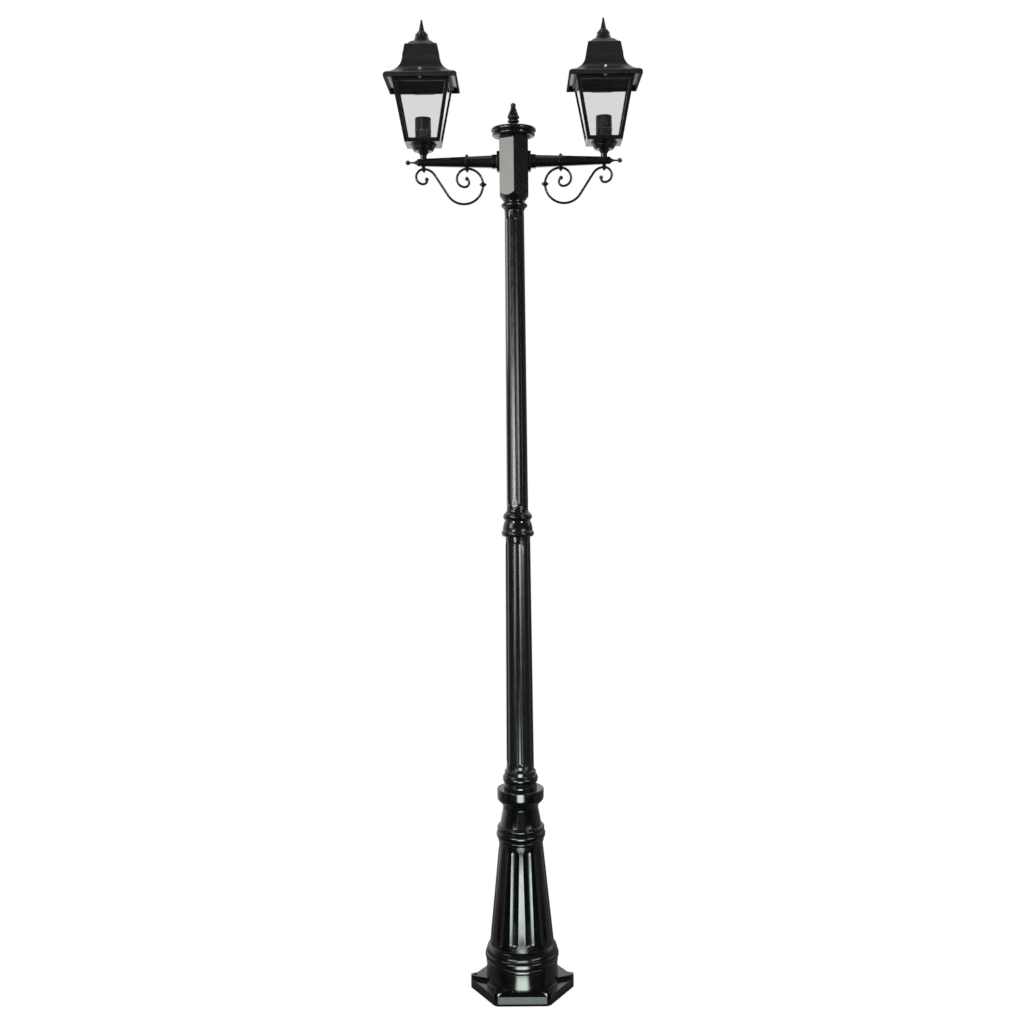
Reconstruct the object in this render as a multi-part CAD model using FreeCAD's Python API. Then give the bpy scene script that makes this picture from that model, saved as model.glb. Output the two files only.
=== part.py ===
import FreeCAD, Part
import math
import os

# Garden lamp post with two four-sided lanterns on scrolled arms. Millimetres.
# Origin at the centre of the base underside, +Z up, +X along the right arm, front at -Y.

# Fits
SLIP = 0.05                    # radial play of sleeves, tangs and tubes in their bores
PIN_PLAY = 0.05                # radial play of the hinge pin in the roof barrels
SIDE_PLAY = 0.3                # end play between hinge barrels
ROD_PLAY = 0.5                 # play of the scroll bar in its clips and knuckle

# Pedestal flange
FLANGE_R = 158.0               # centre to the sharp corner of the hexagon
FLANGE_FACET_R = 154.5         # centre to the flat that clips each corner
FLANGE_H = 28.0
LUG_H = 38.0
LUG_HALF_ANGLE = 24.0          # spread of a wedge lug on each side of its centre line
BOLT_CIRCLE_R = 141.0
BOLT_HOLE_R = 6.0
BOLT_COUNT = 3

# Pedestal body, heights stacked from the flange upwards
PLINTH_R = 104.0
PLINTH_H = 51.0
FOOT_RING_R = 107.5
FOOT_RING_H = 15.0
FOOT_BEAD_R = 110.5
FOOT_BEAD_H = 22.0
OGEE_H = 25.0
CONE_FOOT_R = 96.0
CONE_TOP_R = 65.0
CONE_H = 307.0
GIRDLE_LOW_R = 68.3
GIRDLE_LOW_H = 13.0
GIRDLE_MID_R = 73.4
GIRDLE_MID_H = 24.0
GIRDLE_TOP_R = 70.5
GIRDLE_TOP_H = 15.0
NECK_FOOT_R = 62.5
NECK_TOP_R = 52.6
NECK_H = 52.0
COLLAR_R = 69.7
COLLAR_FLARE_H = 35.0
COLLAR_BAND_H = 24.0
COLLAR_EDGE = 3.0
BEAD_BULGE = 4.0               # how far a bead stands out of the groove beside it
PEDESTAL_WALL = 10.0
FLUTE_COUNT = 12
FLUTE_W = 24.5
FLUTE_DEPTH = 2.6
FLUTE_START = 16.0             # from the cone foot to the flute end
FLUTE_STOP = 7.0               # from the flute end to the cone top

# Lower shaft
LOWER_BORE_R = 27.0
FOOT_STEP_R = 50.0
FOOT_STEP_H = 18.0
FOOT_TORUS_R = 52.5
FOOT_TORUS_H = 24.0
FOOT_NECK_R = 46.5
FOOT_NECK_H = 11.0
FOOT_COVE_H = 11.0
LOWER_FOOT_R = 41.2
LOWER_TOP_R = 36.7
LOWER_TUBE_H = 690.0
LOWER_FLUTE_W = 16.5
LOWER_FLUTE_DEPTH = 2.6

# Collar between the shafts
JOINT_TORUS_R = 48.0
JOINT_TORUS_H = 17.0
JOINT_CONE_FOOT_R = 44.0
JOINT_CONE_TOP_R = 36.7
JOINT_CONE_H = 30.0
JOINT_BEAD_R = 42.6
JOINT_BEAD_H = 21.0
JOINT_COVE_H = 15.0

# Upper shaft
UPPER_BORE_R = 22.0
UPPER_FOOT_R = 31.4
UPPER_TOP_R = 28.0
UPPER_TUBE_H = 854.0
UPPER_FLUTE_W = 16.0
UPPER_FLUTE_DEPTH = 2.5
UPPER_FLUTE_TURN = 15.5        # degrees that the upper flutes stand to the right of the lower
SHAFT_FLUTE_COUNT = 6
SHAFT_FLUTE_START = 7.0        # plain length of tube below the flutes
SHAFT_FLUTE_STOP = 13.0        # plain length of tube above the flutes

# Sleeves inside the post
SLEEVE_GRIP = 60.0             # length of a sleeve inside each tube
SLEEVE_WALL = 7.0
CABLE_BORE_R = 12.0

# Neck collar, head box and cap
NECK_RING_R = 38.0
NECK_RING_H = 9.5
NECK_COVE_H = 16.0
NECK_RISE_H = 7.5
BOX_SEAT_R = 31.0
BOX_FLATS = 82.4
BOX_H = 175.0
BOX_CHAMFER_SLOPE = 1.35       # rise per radius of the coned underside
BOX_WALL = 5.0
BOX_FLOOR = 25.0
GASKET_T = 2.0
CAP_SEAT_R = 43.0
CAP_COVE_R = 53.0
CAP_COVE_H = 6.5
CAP_LOW_BEAD_R = 61.5
CAP_LOW_BEAD_H = 10.5
CAP_BEAD_R = 64.7
CAP_BEAD_H = 14.0
CAP_CROWN_H = 4.0
CAP_HOLE_R = 4.0
FINIAL_FOOT_R = 11.7
FINIAL_FOOT_H = 9.5
FINIAL_RING_R = 16.3
FINIAL_RING_H = 10.0
FINIAL_BODY_R = 17.7
FINIAL_BODY_H = 35.0
FINIAL_NECK_R = 6.5
FINIAL_BALL_R = 7.8
BLOCK_L = 46.0
BLOCK_W = 24.0
BLOCK_H = 18.0

# Arms
ARM_HEIGHT = 113.0             # arm axis above the underside of the head box
PLATE_T = 7.8
PLATE_H = 57.0
PLATE_W = 44.0
PLATE_CORNER = 10.0
SOCKET_FLATS = 38.5
SOCKET_L = 14.0
ARM_ROOT_FLATS = 34.0
ARM_END_FLATS = 20.0
ARM_L = 213.0                  # from the socket to the end bevel
ARM_BEVEL_L = 8.0
ARM_BEVEL_FLATS = 8.0
TANG_R = 8.0
NUT_FLATS = 24.0
NUT_T = 7.0
TIP_NECK_R = 2.4
TIP_NECK_L = 15.0
TIP_BALL_R = 6.8
TIP_TANG_L = 10.0

# Scroll bar, in the plane of the arms
ROD_R = 3.5
ROD_BALL_R = 5.8
CLIP_X = 135.0                 # inner clip from the post axis
INNER_GAP = 0.5                # between arm and bar at the inner clip
OUTER_GAP = 4.5                # between arm and bar at the lantern
COIL_OUTER_R = 45.6            # inner coil, radii of its quarter turns from the clip to the eye
COIL_UPPER_R = 29.5
COIL_LOWER_R = 22.5
COIL_EYE_R = 12.5
COIL_EYE_TURN = 150.0
BELLY_R = 55.0
CURL_OUTER_R = 37.5            # outer curl, radii of its quarter turns from the clip to the eye
CURL_UPPER_R = 22.0
CURL_LOWER_R = 20.5
CURL_EYE_R = 10.5
CURL_EYE_TURN = 105.0
KNUCKLE_R = 10.5
KNUCKLE_H = 12.0
CLIP_W = 10.0
CLIP_T = 2.5
CLIP_POINT = 5.0
CLIP_TAB = 7.0                 # tab below the bar
CLIP_TAB_W = 14.0

# Lantern, heights stacked from the arm axis upwards
LANTERN_X = 260.0
FRAME_RISE = 50.0              # underside of the lantern frame above the arm axis
STEM_R = 9.3
STEM_TOP_R = 17.3
STEM_FLARE_H = 16.0
STEM_SADDLE = 3.0              # how far the stem reaches down over the arm
CUP_FOOT_R = 19.0
CUP_TOP_R = 39.0
CUP_H = 12.5
CUP_GROOVE = 1.0
NIPPLE_R = 5.0
NIPPLE_BORE_R = 3.5
NIPPLE_GRIP = 8.0              # nipple length inside the arm and the lampholder
FRAME_BASE_W = 100.5
FRAME_TOP_W = 164.0
FRAME_H = 174.0
FRAME_WALL = 3.0
FRAME_FLOOR = 4.0
POST_W = 10.5
BASE_RAIL_H = 11.0
HEAD_RAIL_H = 12.0
GLASS_T = 3.0
GLASS_PLAY = 0.3
HOLDER_R = 22.8
HOLDER_H = 72.0
HOLDER_RING_R = 23.8
HOLDER_RING_H = 4.0
HOLDER_RING_Z = 33.0
HOLDER_GROOVE = 1.5
SOCKET_BORE_R = 13.5
SOCKET_DEPTH = 27.0

# Roof
EAVE_W = 206.0
EAVE_H = 12.0
EAVE_DROP = 5.0                # how far the eave edge hangs below the frame top
EAVE_NOSE = 12.0               # how far the rounded eave edge reaches inwards
EAVE_LIP = 5.5
SOFFIT_RECESS = 4.0
ROOF_SEAT_W = 12.0             # flat ring that rests on the head rail
SEAT_INSIDE = 8.0              # part of that ring inside the rail's outer edge
FLARE_R = 57.5                 # hollow curve of the roof side
ROOF_WALL = 4.5
WAIST_W = 105.0
SHOULDER_W = 94.0
SIDE_H = 27.7
SHOULDER_R = 7.5
CROWN_W = 54.0
CROWN_RISE = 11.0
SWEEP_R = 27.0                 # foot of the hollow sweep from the crown to the neck
SWEEP_H = 15.0
NECK_SWEEP_R = 19.6
CROWN_NECK_R = 17.6
CROWN_NECK_H = 23.7
NECK_LIP = 0.8
NECK_LIP_H = 3.7
SPIKE_RING_R = 13.9
SPIKE_RING_H = 9.8
SPIKE_FOOT_R = 10.0
SPIKE_TIP_R = 1.8
SPIKE_H = 35.0
SPIKE_TANG_R = 4.0
SPIKE_TANG_L = 12.0

# Roof hinge at the rear and stud at the front
HINGE_OUT = 10.0               # pin axis behind the head rail
HINGE_DROP = 6.0               # pin axis below the frame top
BARREL_R = 4.5
PIN_R = 2.0
FRAME_BARREL_L = 30.0
ROOF_BARREL_L = 15.0
LUG_OUT = 13.5                 # front lug in front of the head rail
LUG_W = 13.0
LUG_T = 4.0
STUD_R = 2.0
STUD_HEAD_R = 4.6
STUD_HEAD_H = 3.0
STUD_HOLE_R = 3.4
STUD_HOLE_OUT = 1.1            # hole centre in front of the stud, as the opening roof draws it back
DOME_NUT_R = 4.6
DOME_NUT_H = 8.0
BOSS_R = 5.2                   # boss on the roof under the nut
BOSS_H = 0.6                   # boss height at its inner side, where the roof is highest
STUD_IN_NUT = 3.0              # stud length above the nut's seat
NUT_PLAY = 0.7

V = FreeCAD.Vector
UP = V(0, 0, 1)
parts = {}


def profile(start, steps):
    """Wire in the XZ plane; a step is an end point, or a mid point and an end point of an arc."""
    edges = []
    here = V(start[0], 0, start[1])
    for step in steps:
        end = V(step[-2], 0, step[-1])
        if len(step) == 2:
            edges.append(Part.makeLine(here, end))
        else:
            edges.append(Part.Arc(here, V(step[0], 0, step[1]), end).toShape())
        here = end
    return Part.Wire(edges)


def turned(start, *steps):
    """Solid of revolution about Z; the outline closes on itself along the axis or at its start."""
    first = V(start[0], 0, start[1])
    wire = profile(start, steps)
    last = V(steps[-1][-2], 0, steps[-1][-1])
    if (last - first).Length > 1e-7:
        wire = Part.Wire(wire.Edges + [Part.makeLine(last, first)])
    return Part.Face(wire).revolve(V(0, 0, 0), UP, 360)


def bead(z_low, height, groove_r, crest_r):
    """Arc step of a half-round bead that starts and ends in its grooves."""
    return (crest_r, z_low + height / 2, groove_r, z_low + height)


def dome(edge_r, edge_z, height=None):
    """Arc step from a rim to the axis, part of a sphere; a half ball where no height is given."""
    rise = edge_r if height is None else height
    ball_r = (edge_r ** 2 + rise ** 2) / (2 * abs(rise))
    half_turn = math.asin(min(edge_r / ball_r, 1.0)) / 2
    top = edge_z + rise
    drop = math.copysign(ball_r * (1 - math.cos(half_turn)), rise)
    return (ball_r * math.sin(half_turn), top - drop, 0, top)


def cylinder(radius, length, base, axis=UP):
    return Part.makeCylinder(radius, length, base, axis)


def box(x0, x1, y0, y1, z0, z1):
    return Part.makeBox(x1 - x0, y1 - y0, z1 - z0, V(x0, y0, z0))


def polygon_x(x, flats, sides=8):
    """Corners of a regular polygon with flat top and bottom, square to the arm, at x from the post axis."""
    corner = flats / 2 / math.cos(math.pi / sides)
    turns = [math.pi * (2 * i + 1) / sides for i in range(sides)]
    return [V(x, corner * math.sin(t), corner * math.cos(t)) for t in turns]


def polygon_z(z, corner_r, sides, first_deg):
    """Corners of a regular polygon about Z, the first one at the given angle."""
    turns = [math.radians(first_deg + 360.0 * i / sides) for i in range(sides)]
    return [V(corner_r * math.cos(t), corner_r * math.sin(t), z) for t in turns]


def square(width, z):
    return polygon_z(z, width / math.sqrt(2), 4, 45)


def outline(corners):
    """Flat face with the given corners."""
    return Part.Face(Part.makePolygon(corners + corners[:1]))


def frustum(low, high):
    """Flat-sided solid between two outlines that have as many corners each."""
    after = low[1:] + low[:1]
    above = high[1:] + high[:1]
    sides = [outline([a, b, c, d]) for a, b, c, d in zip(low, after, above, high)]
    solid = Part.Solid(Part.makeShell(sides + [outline(low), outline(high)]))
    if solid.Volume < 0:
        solid.reverse()
    return solid


def ring_of(shape, count, start=0.0):
    """Copies of a shape evenly spaced about Z."""
    copies = []
    for i in range(count):
        copy = shape.copy()
        copy.rotate(V(0, 0, 0), UP, start + 360.0 * i / count)
        copies.append(copy)
    return copies


def flutes(z_low, r_low, z_high, r_high, width, depth, count, start):
    """Cutters of round-ended grooves that follow a tapering wall, between the two levels."""
    wall_r = (r_low + r_high) / 2
    cutter_r = 1 / (8 * depth / width ** 2 - 1 / wall_r)
    slope = (r_high - r_low) / (z_high - z_low)
    out = cutter_r - depth
    low = V(0, -(r_low + slope * width / 2 + out), z_low + width / 2)
    high = V(0, -(r_high - slope * width / 2 + out), z_high - width / 2)
    along = high - low
    groove = cylinder(cutter_r, along.Length, low, along)
    groove = groove.fuse([Part.makeSphere(cutter_r, low), Part.makeSphere(cutter_r, high)])
    return ring_of(groove, count, start)


def fluted(body, cutters):
    """Body with the grooves cut one by one, since the cutters overlap outside it."""
    for cutter in cutters:
        body = body.cut(cutter)
    return body


def taper(r_low, r_high, fraction):
    return r_low + (r_high - r_low) * fraction


# Heights of the post
plinth_top = FLANGE_H + PLINTH_H
foot_ring_top = plinth_top + FOOT_RING_H
foot_bead_top = foot_ring_top + FOOT_BEAD_H
cone_foot = foot_bead_top + OGEE_H
cone_top = cone_foot + CONE_H
girdle_low_top = cone_top + GIRDLE_LOW_H
girdle_mid_top = girdle_low_top + GIRDLE_MID_H
girdle_top = girdle_mid_top + GIRDLE_TOP_H
neck_top = girdle_top + NECK_H
flare_top = neck_top + COLLAR_FLARE_H
pedestal_top = flare_top + COLLAR_BAND_H
step_top = pedestal_top + FOOT_STEP_H
torus_top = step_top + FOOT_TORUS_H
foot_neck_top = torus_top + FOOT_NECK_H
lower_foot = foot_neck_top + FOOT_COVE_H
lower_top = lower_foot + LOWER_TUBE_H
joint_torus_top = lower_top + JOINT_TORUS_H
joint_cone_top = joint_torus_top + JOINT_CONE_H
joint_bead_top = joint_cone_top + JOINT_BEAD_H
upper_foot = joint_bead_top + JOINT_COVE_H
upper_top = upper_foot + UPPER_TUBE_H
box_foot = upper_top + NECK_COVE_H + NECK_RING_H + NECK_RISE_H
box_top = box_foot + BOX_H
cap_foot = box_top + GASKET_T
arm_z = box_foot + ARM_HEIGHT


def base_pedestal():
    """Six-sided flange with wedge lugs, moulded plinth, fluted cone and collar, cored out below."""
    hexagon = outline(polygon_z(0, FLANGE_R, 6, 0))
    facet_half = (FLANGE_R - FLANGE_FACET_R) / math.tan(math.radians(30))
    spread = facet_half + FLANGE_FACET_R * math.tan(math.radians(LUG_HALF_ANGLE))
    wedge = outline([V(0, -spread, 0), V(FLANGE_FACET_R, -facet_half, 0), V(FLANGE_FACET_R, facet_half, 0),
                     V(0, spread, 0)])
    lug = wedge.common(hexagon).extrude(V(0, 0, LUG_H))
    trim = box(FLANGE_FACET_R, FLANGE_R, -FLANGE_R, FLANGE_R, 0, FLANGE_H)
    flange = hexagon.extrude(V(0, 0, FLANGE_H)).cut(ring_of(trim, 6)).fuse(ring_of(lug, 6))
    groove_ring = FOOT_RING_R - BEAD_BULGE
    groove_bead = FOOT_BEAD_R - BEAD_BULGE
    body = turned(
        (0, 0), (PLINTH_R, 0), (PLINTH_R, plinth_top), (groove_ring, plinth_top),
        bead(plinth_top, FOOT_RING_H, groove_ring, FOOT_RING_R), (groove_bead, foot_ring_top),
        bead(foot_ring_top, FOOT_BEAD_H, groove_bead, FOOT_BEAD_R),
        (taper(groove_bead, CONE_FOOT_R, 0.4), foot_bead_top + 0.65 * OGEE_H, CONE_FOOT_R, cone_foot),
        (CONE_TOP_R, cone_top),
        bead(cone_top, GIRDLE_LOW_H, GIRDLE_LOW_R - BEAD_BULGE / 2, GIRDLE_LOW_R),
        (GIRDLE_MID_R - BEAD_BULGE, girdle_low_top),
        bead(girdle_low_top, GIRDLE_MID_H, GIRDLE_MID_R - BEAD_BULGE, GIRDLE_MID_R),
        (GIRDLE_TOP_R - BEAD_BULGE, girdle_mid_top),
        bead(girdle_mid_top, GIRDLE_TOP_H, GIRDLE_TOP_R - BEAD_BULGE, GIRDLE_TOP_R),
        (NECK_FOOT_R, girdle_top), (NECK_TOP_R, neck_top),
        (taper(NECK_TOP_R, COLLAR_R, 0.20), neck_top + 0.36 * COLLAR_FLARE_H,
         taper(NECK_TOP_R, COLLAR_R, 0.55), neck_top + 0.55 * COLLAR_FLARE_H),
        (taper(NECK_TOP_R, COLLAR_R, 0.90), neck_top + 0.76 * COLLAR_FLARE_H, COLLAR_R, flare_top),
        (COLLAR_R, pedestal_top - COLLAR_EDGE),
        (COLLAR_R - 0.3 * COLLAR_EDGE, pedestal_top - 0.3 * COLLAR_EDGE,
         COLLAR_R - COLLAR_EDGE, pedestal_top),
        (0, pedestal_top))
    start, stop = FLUTE_START / CONE_H, 1 - FLUTE_STOP / CONE_H
    grooves = flutes(cone_foot + FLUTE_START, taper(CONE_FOOT_R, CONE_TOP_R, start),
                     cone_top - FLUTE_STOP, taper(CONE_FOOT_R, CONE_TOP_R, stop),
                     FLUTE_W, FLUTE_DEPTH, FLUTE_COUNT, 180.0 / FLUTE_COUNT)
    core_top = pedestal_top - SLEEVE_GRIP
    core = turned(
        (0, 0), (PLINTH_R - PEDESTAL_WALL, 0), (PLINTH_R - PEDESTAL_WALL, plinth_top),
        (CONE_FOOT_R - FLUTE_DEPTH - PEDESTAL_WALL, cone_foot),
        (CONE_TOP_R - FLUTE_DEPTH - PEDESTAL_WALL, cone_top),
        (NECK_TOP_R - PEDESTAL_WALL, core_top), (LOWER_BORE_R, core_top), (LOWER_BORE_R, pedestal_top),
        (0, pedestal_top))
    hole = cylinder(BOLT_HOLE_R, LUG_H, V(BOLT_CIRCLE_R, 0, 0))
    body = fluted(body, grooves).fuse(flange).cut(core)
    return body.cut(ring_of(hole, BOLT_COUNT, 180)).removeSplitter()


def fluted_tube(tube, z_low, r_low, z_high, r_high, width, depth, start):
    """Tapering shaft with its flutes."""
    length = z_high - z_low
    low, high = SHAFT_FLUTE_START / length, 1 - SHAFT_FLUTE_STOP / length
    cutters = flutes(z_low + SHAFT_FLUTE_START, taper(r_low, r_high, low),
                     z_high - SHAFT_FLUTE_STOP, taper(r_low, r_high, high),
                     width, depth, SHAFT_FLUTE_COUNT, start)
    return fluted(tube, cutters)


def lower_shaft():
    tube = turned(
        (LOWER_BORE_R, pedestal_top), (FOOT_STEP_R, pedestal_top), (FOOT_STEP_R, step_top - FOOT_STEP_H / 2),
        (FOOT_NECK_R, step_top), (FOOT_TORUS_R - BEAD_BULGE, step_top),
        bead(step_top, FOOT_TORUS_H, FOOT_TORUS_R - BEAD_BULGE, FOOT_TORUS_R),
        (FOOT_NECK_R, torus_top), (FOOT_NECK_R, foot_neck_top),
        (taper(FOOT_NECK_R, LOWER_FOOT_R, 0.75), taper(foot_neck_top, lower_foot, 0.35),
         LOWER_FOOT_R, lower_foot),
        (LOWER_TOP_R, lower_top), (LOWER_BORE_R, lower_top))
    return fluted_tube(tube, lower_foot, LOWER_FOOT_R, lower_top, LOWER_TOP_R,
                       LOWER_FLUTE_W, LOWER_FLUTE_DEPTH, 0.0)


def coupling_collar():
    return turned(
        (LOWER_BORE_R, lower_top), (JOINT_CONE_FOOT_R, lower_top),
        bead(lower_top, JOINT_TORUS_H, JOINT_CONE_FOOT_R, JOINT_TORUS_R),
        (taper(JOINT_CONE_FOOT_R, JOINT_CONE_TOP_R, 0.25), taper(joint_torus_top, joint_cone_top, 0.5),
         JOINT_CONE_TOP_R, joint_cone_top),
        bead(joint_cone_top, JOINT_BEAD_H, JOINT_CONE_TOP_R, JOINT_BEAD_R),
        (taper(JOINT_CONE_TOP_R, UPPER_FOOT_R, 0.75), taper(joint_bead_top, upper_foot, 0.4),
         UPPER_FOOT_R, upper_foot),
        (UPPER_BORE_R, upper_foot), (UPPER_BORE_R, joint_bead_top), (LOWER_BORE_R, joint_bead_top))


def upper_shaft():
    tube = turned((UPPER_BORE_R, upper_foot), (UPPER_FOOT_R, upper_foot), (UPPER_TOP_R, upper_top),
                  (UPPER_BORE_R, upper_top))
    return fluted_tube(tube, upper_foot, UPPER_FOOT_R, upper_top, UPPER_TOP_R,
                       UPPER_FLUTE_W, UPPER_FLUTE_DEPTH, UPPER_FLUTE_TURN)


def sleeve(outer_r, z_low, z_high):
    outer = outer_r - SLIP
    inner = outer - SLEEVE_WALL
    return turned((inner, z_low), (outer, z_low), (outer, z_high), (inner, z_high))


def shaft_coupling():
    """Stepped sleeve: wide in the lower shaft and collar, narrow in the upper shaft."""
    wide, narrow = LOWER_BORE_R - SLIP, UPPER_BORE_R - SLIP
    inner = narrow - SLEEVE_WALL
    return turned((inner, lower_top - SLEEVE_GRIP), (wide, lower_top - SLEEVE_GRIP), (wide, joint_bead_top),
                  (narrow, joint_bead_top), (narrow, upper_foot + SLEEVE_GRIP),
                  (inner, upper_foot + SLEEVE_GRIP))


def neck_collar():
    """Turned ring with a spigot in the shaft and a flat seat for the head box."""
    spigot = UPPER_BORE_R - SLIP
    ring_foot = upper_top + NECK_COVE_H
    ring_top = ring_foot + NECK_RING_H
    lip = NECK_RING_R - BEAD_BULGE / 2
    return turned(
        (CABLE_BORE_R, upper_top - SLEEVE_GRIP), (spigot, upper_top - SLEEVE_GRIP), (spigot, upper_top),
        (UPPER_TOP_R, upper_top),
        (taper(UPPER_TOP_R, lip, 0.22), taper(upper_top, ring_foot, 0.6), lip, ring_foot),
        bead(ring_foot, NECK_RING_H, lip, NECK_RING_R),
        (taper(lip, BOX_SEAT_R, 0.85), taper(ring_top, box_foot, 0.5), BOX_SEAT_R, box_foot),
        (CABLE_BORE_R, box_foot))


def hexagon_bar(flats, z, height):
    """Six-sided upright bar with two flats square to the arms."""
    return outline(polygon_z(z, flats / 2 / math.cos(math.pi / 6), 6, 30)).extrude(V(0, 0, height))


def head_box():
    outer = hexagon_bar(BOX_FLATS, box_foot, BOX_H)
    reach = BOX_FLATS
    cone = turned((0, box_foot), (BOX_SEAT_R, box_foot),
                  (reach, box_foot + (reach - BOX_SEAT_R) * BOX_CHAMFER_SLOPE),
                  (reach, box_top + reach), (0, box_top + reach))
    cavity = hexagon_bar(BOX_FLATS - 2 * BOX_WALL, box_foot + BOX_FLOOR, BOX_H)
    cable = cylinder(CABLE_BORE_R, BOX_FLOOR, V(0, 0, box_foot))
    tangs = cylinder(TANG_R + SLIP, BOX_FLATS, V(-BOX_FLATS / 2, 0, arm_z), V(1, 0, 0))
    return outer.common(cone).cut([cavity, cable, tangs])


def head_gasket():
    inside = BOX_FLATS - 2 * BOX_WALL
    return hexagon_bar(BOX_FLATS, box_top, GASKET_T).cut(hexagon_bar(inside, box_top, GASKET_T))


cap_bead_foot = cap_foot + CAP_COVE_H + CAP_LOW_BEAD_H
cap_bead_top = cap_bead_foot + CAP_BEAD_H
cap_top = cap_bead_top + CAP_CROWN_H


def head_cap():
    low_groove = CAP_LOW_BEAD_R - BEAD_BULGE
    groove = CAP_BEAD_R - 1.5 * BEAD_BULGE
    return turned(
        (CAP_HOLE_R + SLIP, cap_foot), (CAP_SEAT_R, cap_foot),
        (taper(CAP_SEAT_R, CAP_COVE_R, 0.35), taper(cap_foot, cap_foot + CAP_COVE_H, 0.65),
         CAP_COVE_R, cap_foot + CAP_COVE_H),
        bead(cap_foot + CAP_COVE_H, CAP_LOW_BEAD_H, low_groove, CAP_LOW_BEAD_R),
        (groove, cap_bead_foot), bead(cap_bead_foot, CAP_BEAD_H, groove, CAP_BEAD_R),
        (taper(groove, FINIAL_FOOT_R, 0.5), taper(cap_bead_top, cap_top, 0.8), FINIAL_FOOT_R, cap_top),
        (CAP_HOLE_R + SLIP, cap_top))


def cap_finial():
    """Foot, ring, pear-shaped body and ball, with a tang through the cap."""
    ring_foot = cap_top + FINIAL_FOOT_H
    ring_top = ring_foot + FINIAL_RING_H
    body_top = ring_top + FINIAL_BODY_H
    groove = FINIAL_RING_R - BEAD_BULGE
    ball_z = body_top + math.sqrt(FINIAL_BALL_R ** 2 - FINIAL_NECK_R ** 2)
    return turned(
        (0, cap_foot), (CAP_HOLE_R, cap_foot), (CAP_HOLE_R, cap_top), (FINIAL_FOOT_R, cap_top),
        (0.88 * FINIAL_FOOT_R, taper(cap_top, ring_foot, 0.5), groove, ring_foot),
        bead(ring_foot, FINIAL_RING_H, groove, FINIAL_RING_R),
        (taper(groove, FINIAL_BODY_R, 0.8), taper(ring_top, body_top, 0.08),
         FINIAL_BODY_R, taper(ring_top, body_top, 0.2)),
        (taper(FINIAL_BODY_R, FINIAL_NECK_R, 0.53), taper(ring_top, body_top, 0.58), FINIAL_NECK_R, body_top),
        (FINIAL_BALL_R, ball_z, 0, ball_z + FINIAL_BALL_R))


def terminal_block():
    floor = box_foot + BOX_FLOOR
    block = box(-BLOCK_W / 2, BLOCK_W / 2, CABLE_BORE_R, CABLE_BORE_R + BLOCK_W / 2,
                floor, floor + BLOCK_L)
    step = box(-BLOCK_W / 2, BLOCK_W / 2, CABLE_BORE_R, CABLE_BORE_R + BLOCK_W / 6,
               floor, floor + BLOCK_L - BLOCK_H)
    return block.cut(step)


# Arms, built about the arm axis and then lifted to it
box_face = BOX_FLATS / 2
socket_face = box_face + PLATE_T + SOCKET_L
arm_end = socket_face + ARM_L


def arm_half(x):
    """Half the height of the arm at x from the post axis."""
    return taper(ARM_ROOT_FLATS, ARM_END_FLATS, (x - socket_face) / ARM_L) / 2


def on_arm_axis(shape):
    shape.translate(V(0, 0, arm_z))
    return shape


def arm_bar(extra=0.0):
    """Eight-sided tapering bar; extra widens it for the clips' seats."""
    return frustum(polygon_x(socket_face, ARM_ROOT_FLATS + 2 * extra),
                   polygon_x(arm_end, ARM_END_FLATS + 2 * extra))


def arm_socket():
    half_w, half_h = PLATE_W / 2, PLATE_H / 2
    corners = [(half_w, half_h - PLATE_CORNER), (half_w - PLATE_CORNER, half_h),
               (PLATE_CORNER - half_w, half_h), (-half_w, half_h - PLATE_CORNER)]
    corners = corners + [(-y, -z) for y, z in corners]
    plate = outline([V(box_face, y, z) for y, z in corners]).extrude(V(PLATE_T, 0, 0))
    collar = outline(polygon_x(box_face + PLATE_T, SOCKET_FLATS)).extrude(V(SOCKET_L, 0, 0))
    bore = cylinder(TANG_R + SLIP, PLATE_T + SOCKET_L, V(box_face, 0, 0), V(1, 0, 0))
    return on_arm_axis(plate.fuse(collar).cut(bore).removeSplitter())


nut_face = box_face - BOX_WALL


def arm():
    bar = arm_bar()
    bevel = frustum(polygon_x(arm_end, ARM_END_FLATS), polygon_x(arm_end + ARM_BEVEL_L, ARM_BEVEL_FLATS))
    tang = cylinder(TANG_R, socket_face - nut_face + NUT_T, V(nut_face - NUT_T, 0, 0), V(1, 0, 0))
    drilled = cylinder(NIPPLE_R + SLIP, ARM_ROOT_FLATS, V(LANTERN_X, 0, arm_half(LANTERN_X) - NIPPLE_GRIP))
    tip = cylinder(TIP_NECK_R + SLIP, TIP_TANG_L, V(arm_end + ARM_BEVEL_L - TIP_TANG_L, 0, 0), V(1, 0, 0))
    return on_arm_axis(bar.fuse([bevel, tang]).cut([drilled, tip]).removeSplitter())


def arm_nut():
    nut = outline(polygon_x(nut_face - NUT_T, NUT_FLATS, 6)).extrude(V(NUT_T, 0, 0))
    return on_arm_axis(nut.cut(cylinder(TANG_R + SLIP, NUT_T, V(nut_face - NUT_T, 0, 0), V(1, 0, 0))))


def arm_tip():
    """Ball on a thin neck, turned about the arm axis."""
    tang = -TIP_TANG_L
    ball = TIP_NECK_L + math.sqrt(TIP_BALL_R ** 2 - TIP_NECK_R ** 2)
    tip = turned((0, tang), (TIP_NECK_R, tang), (TIP_NECK_R, 0), (TIP_BALL_R * 0.75, 0),
                 (TIP_BALL_R * 0.5, TIP_NECK_L * 0.22, TIP_NECK_R, TIP_NECK_L * 0.6),
                 (TIP_NECK_R, TIP_NECK_L),
                 (TIP_BALL_R, ball, 0, ball + TIP_BALL_R))
    tip.rotate(V(0, 0, 0), V(0, 1, 0), 90)
    tip.translate(V(arm_end + ARM_BEVEL_L, 0, 0))
    return on_arm_axis(tip)


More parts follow.
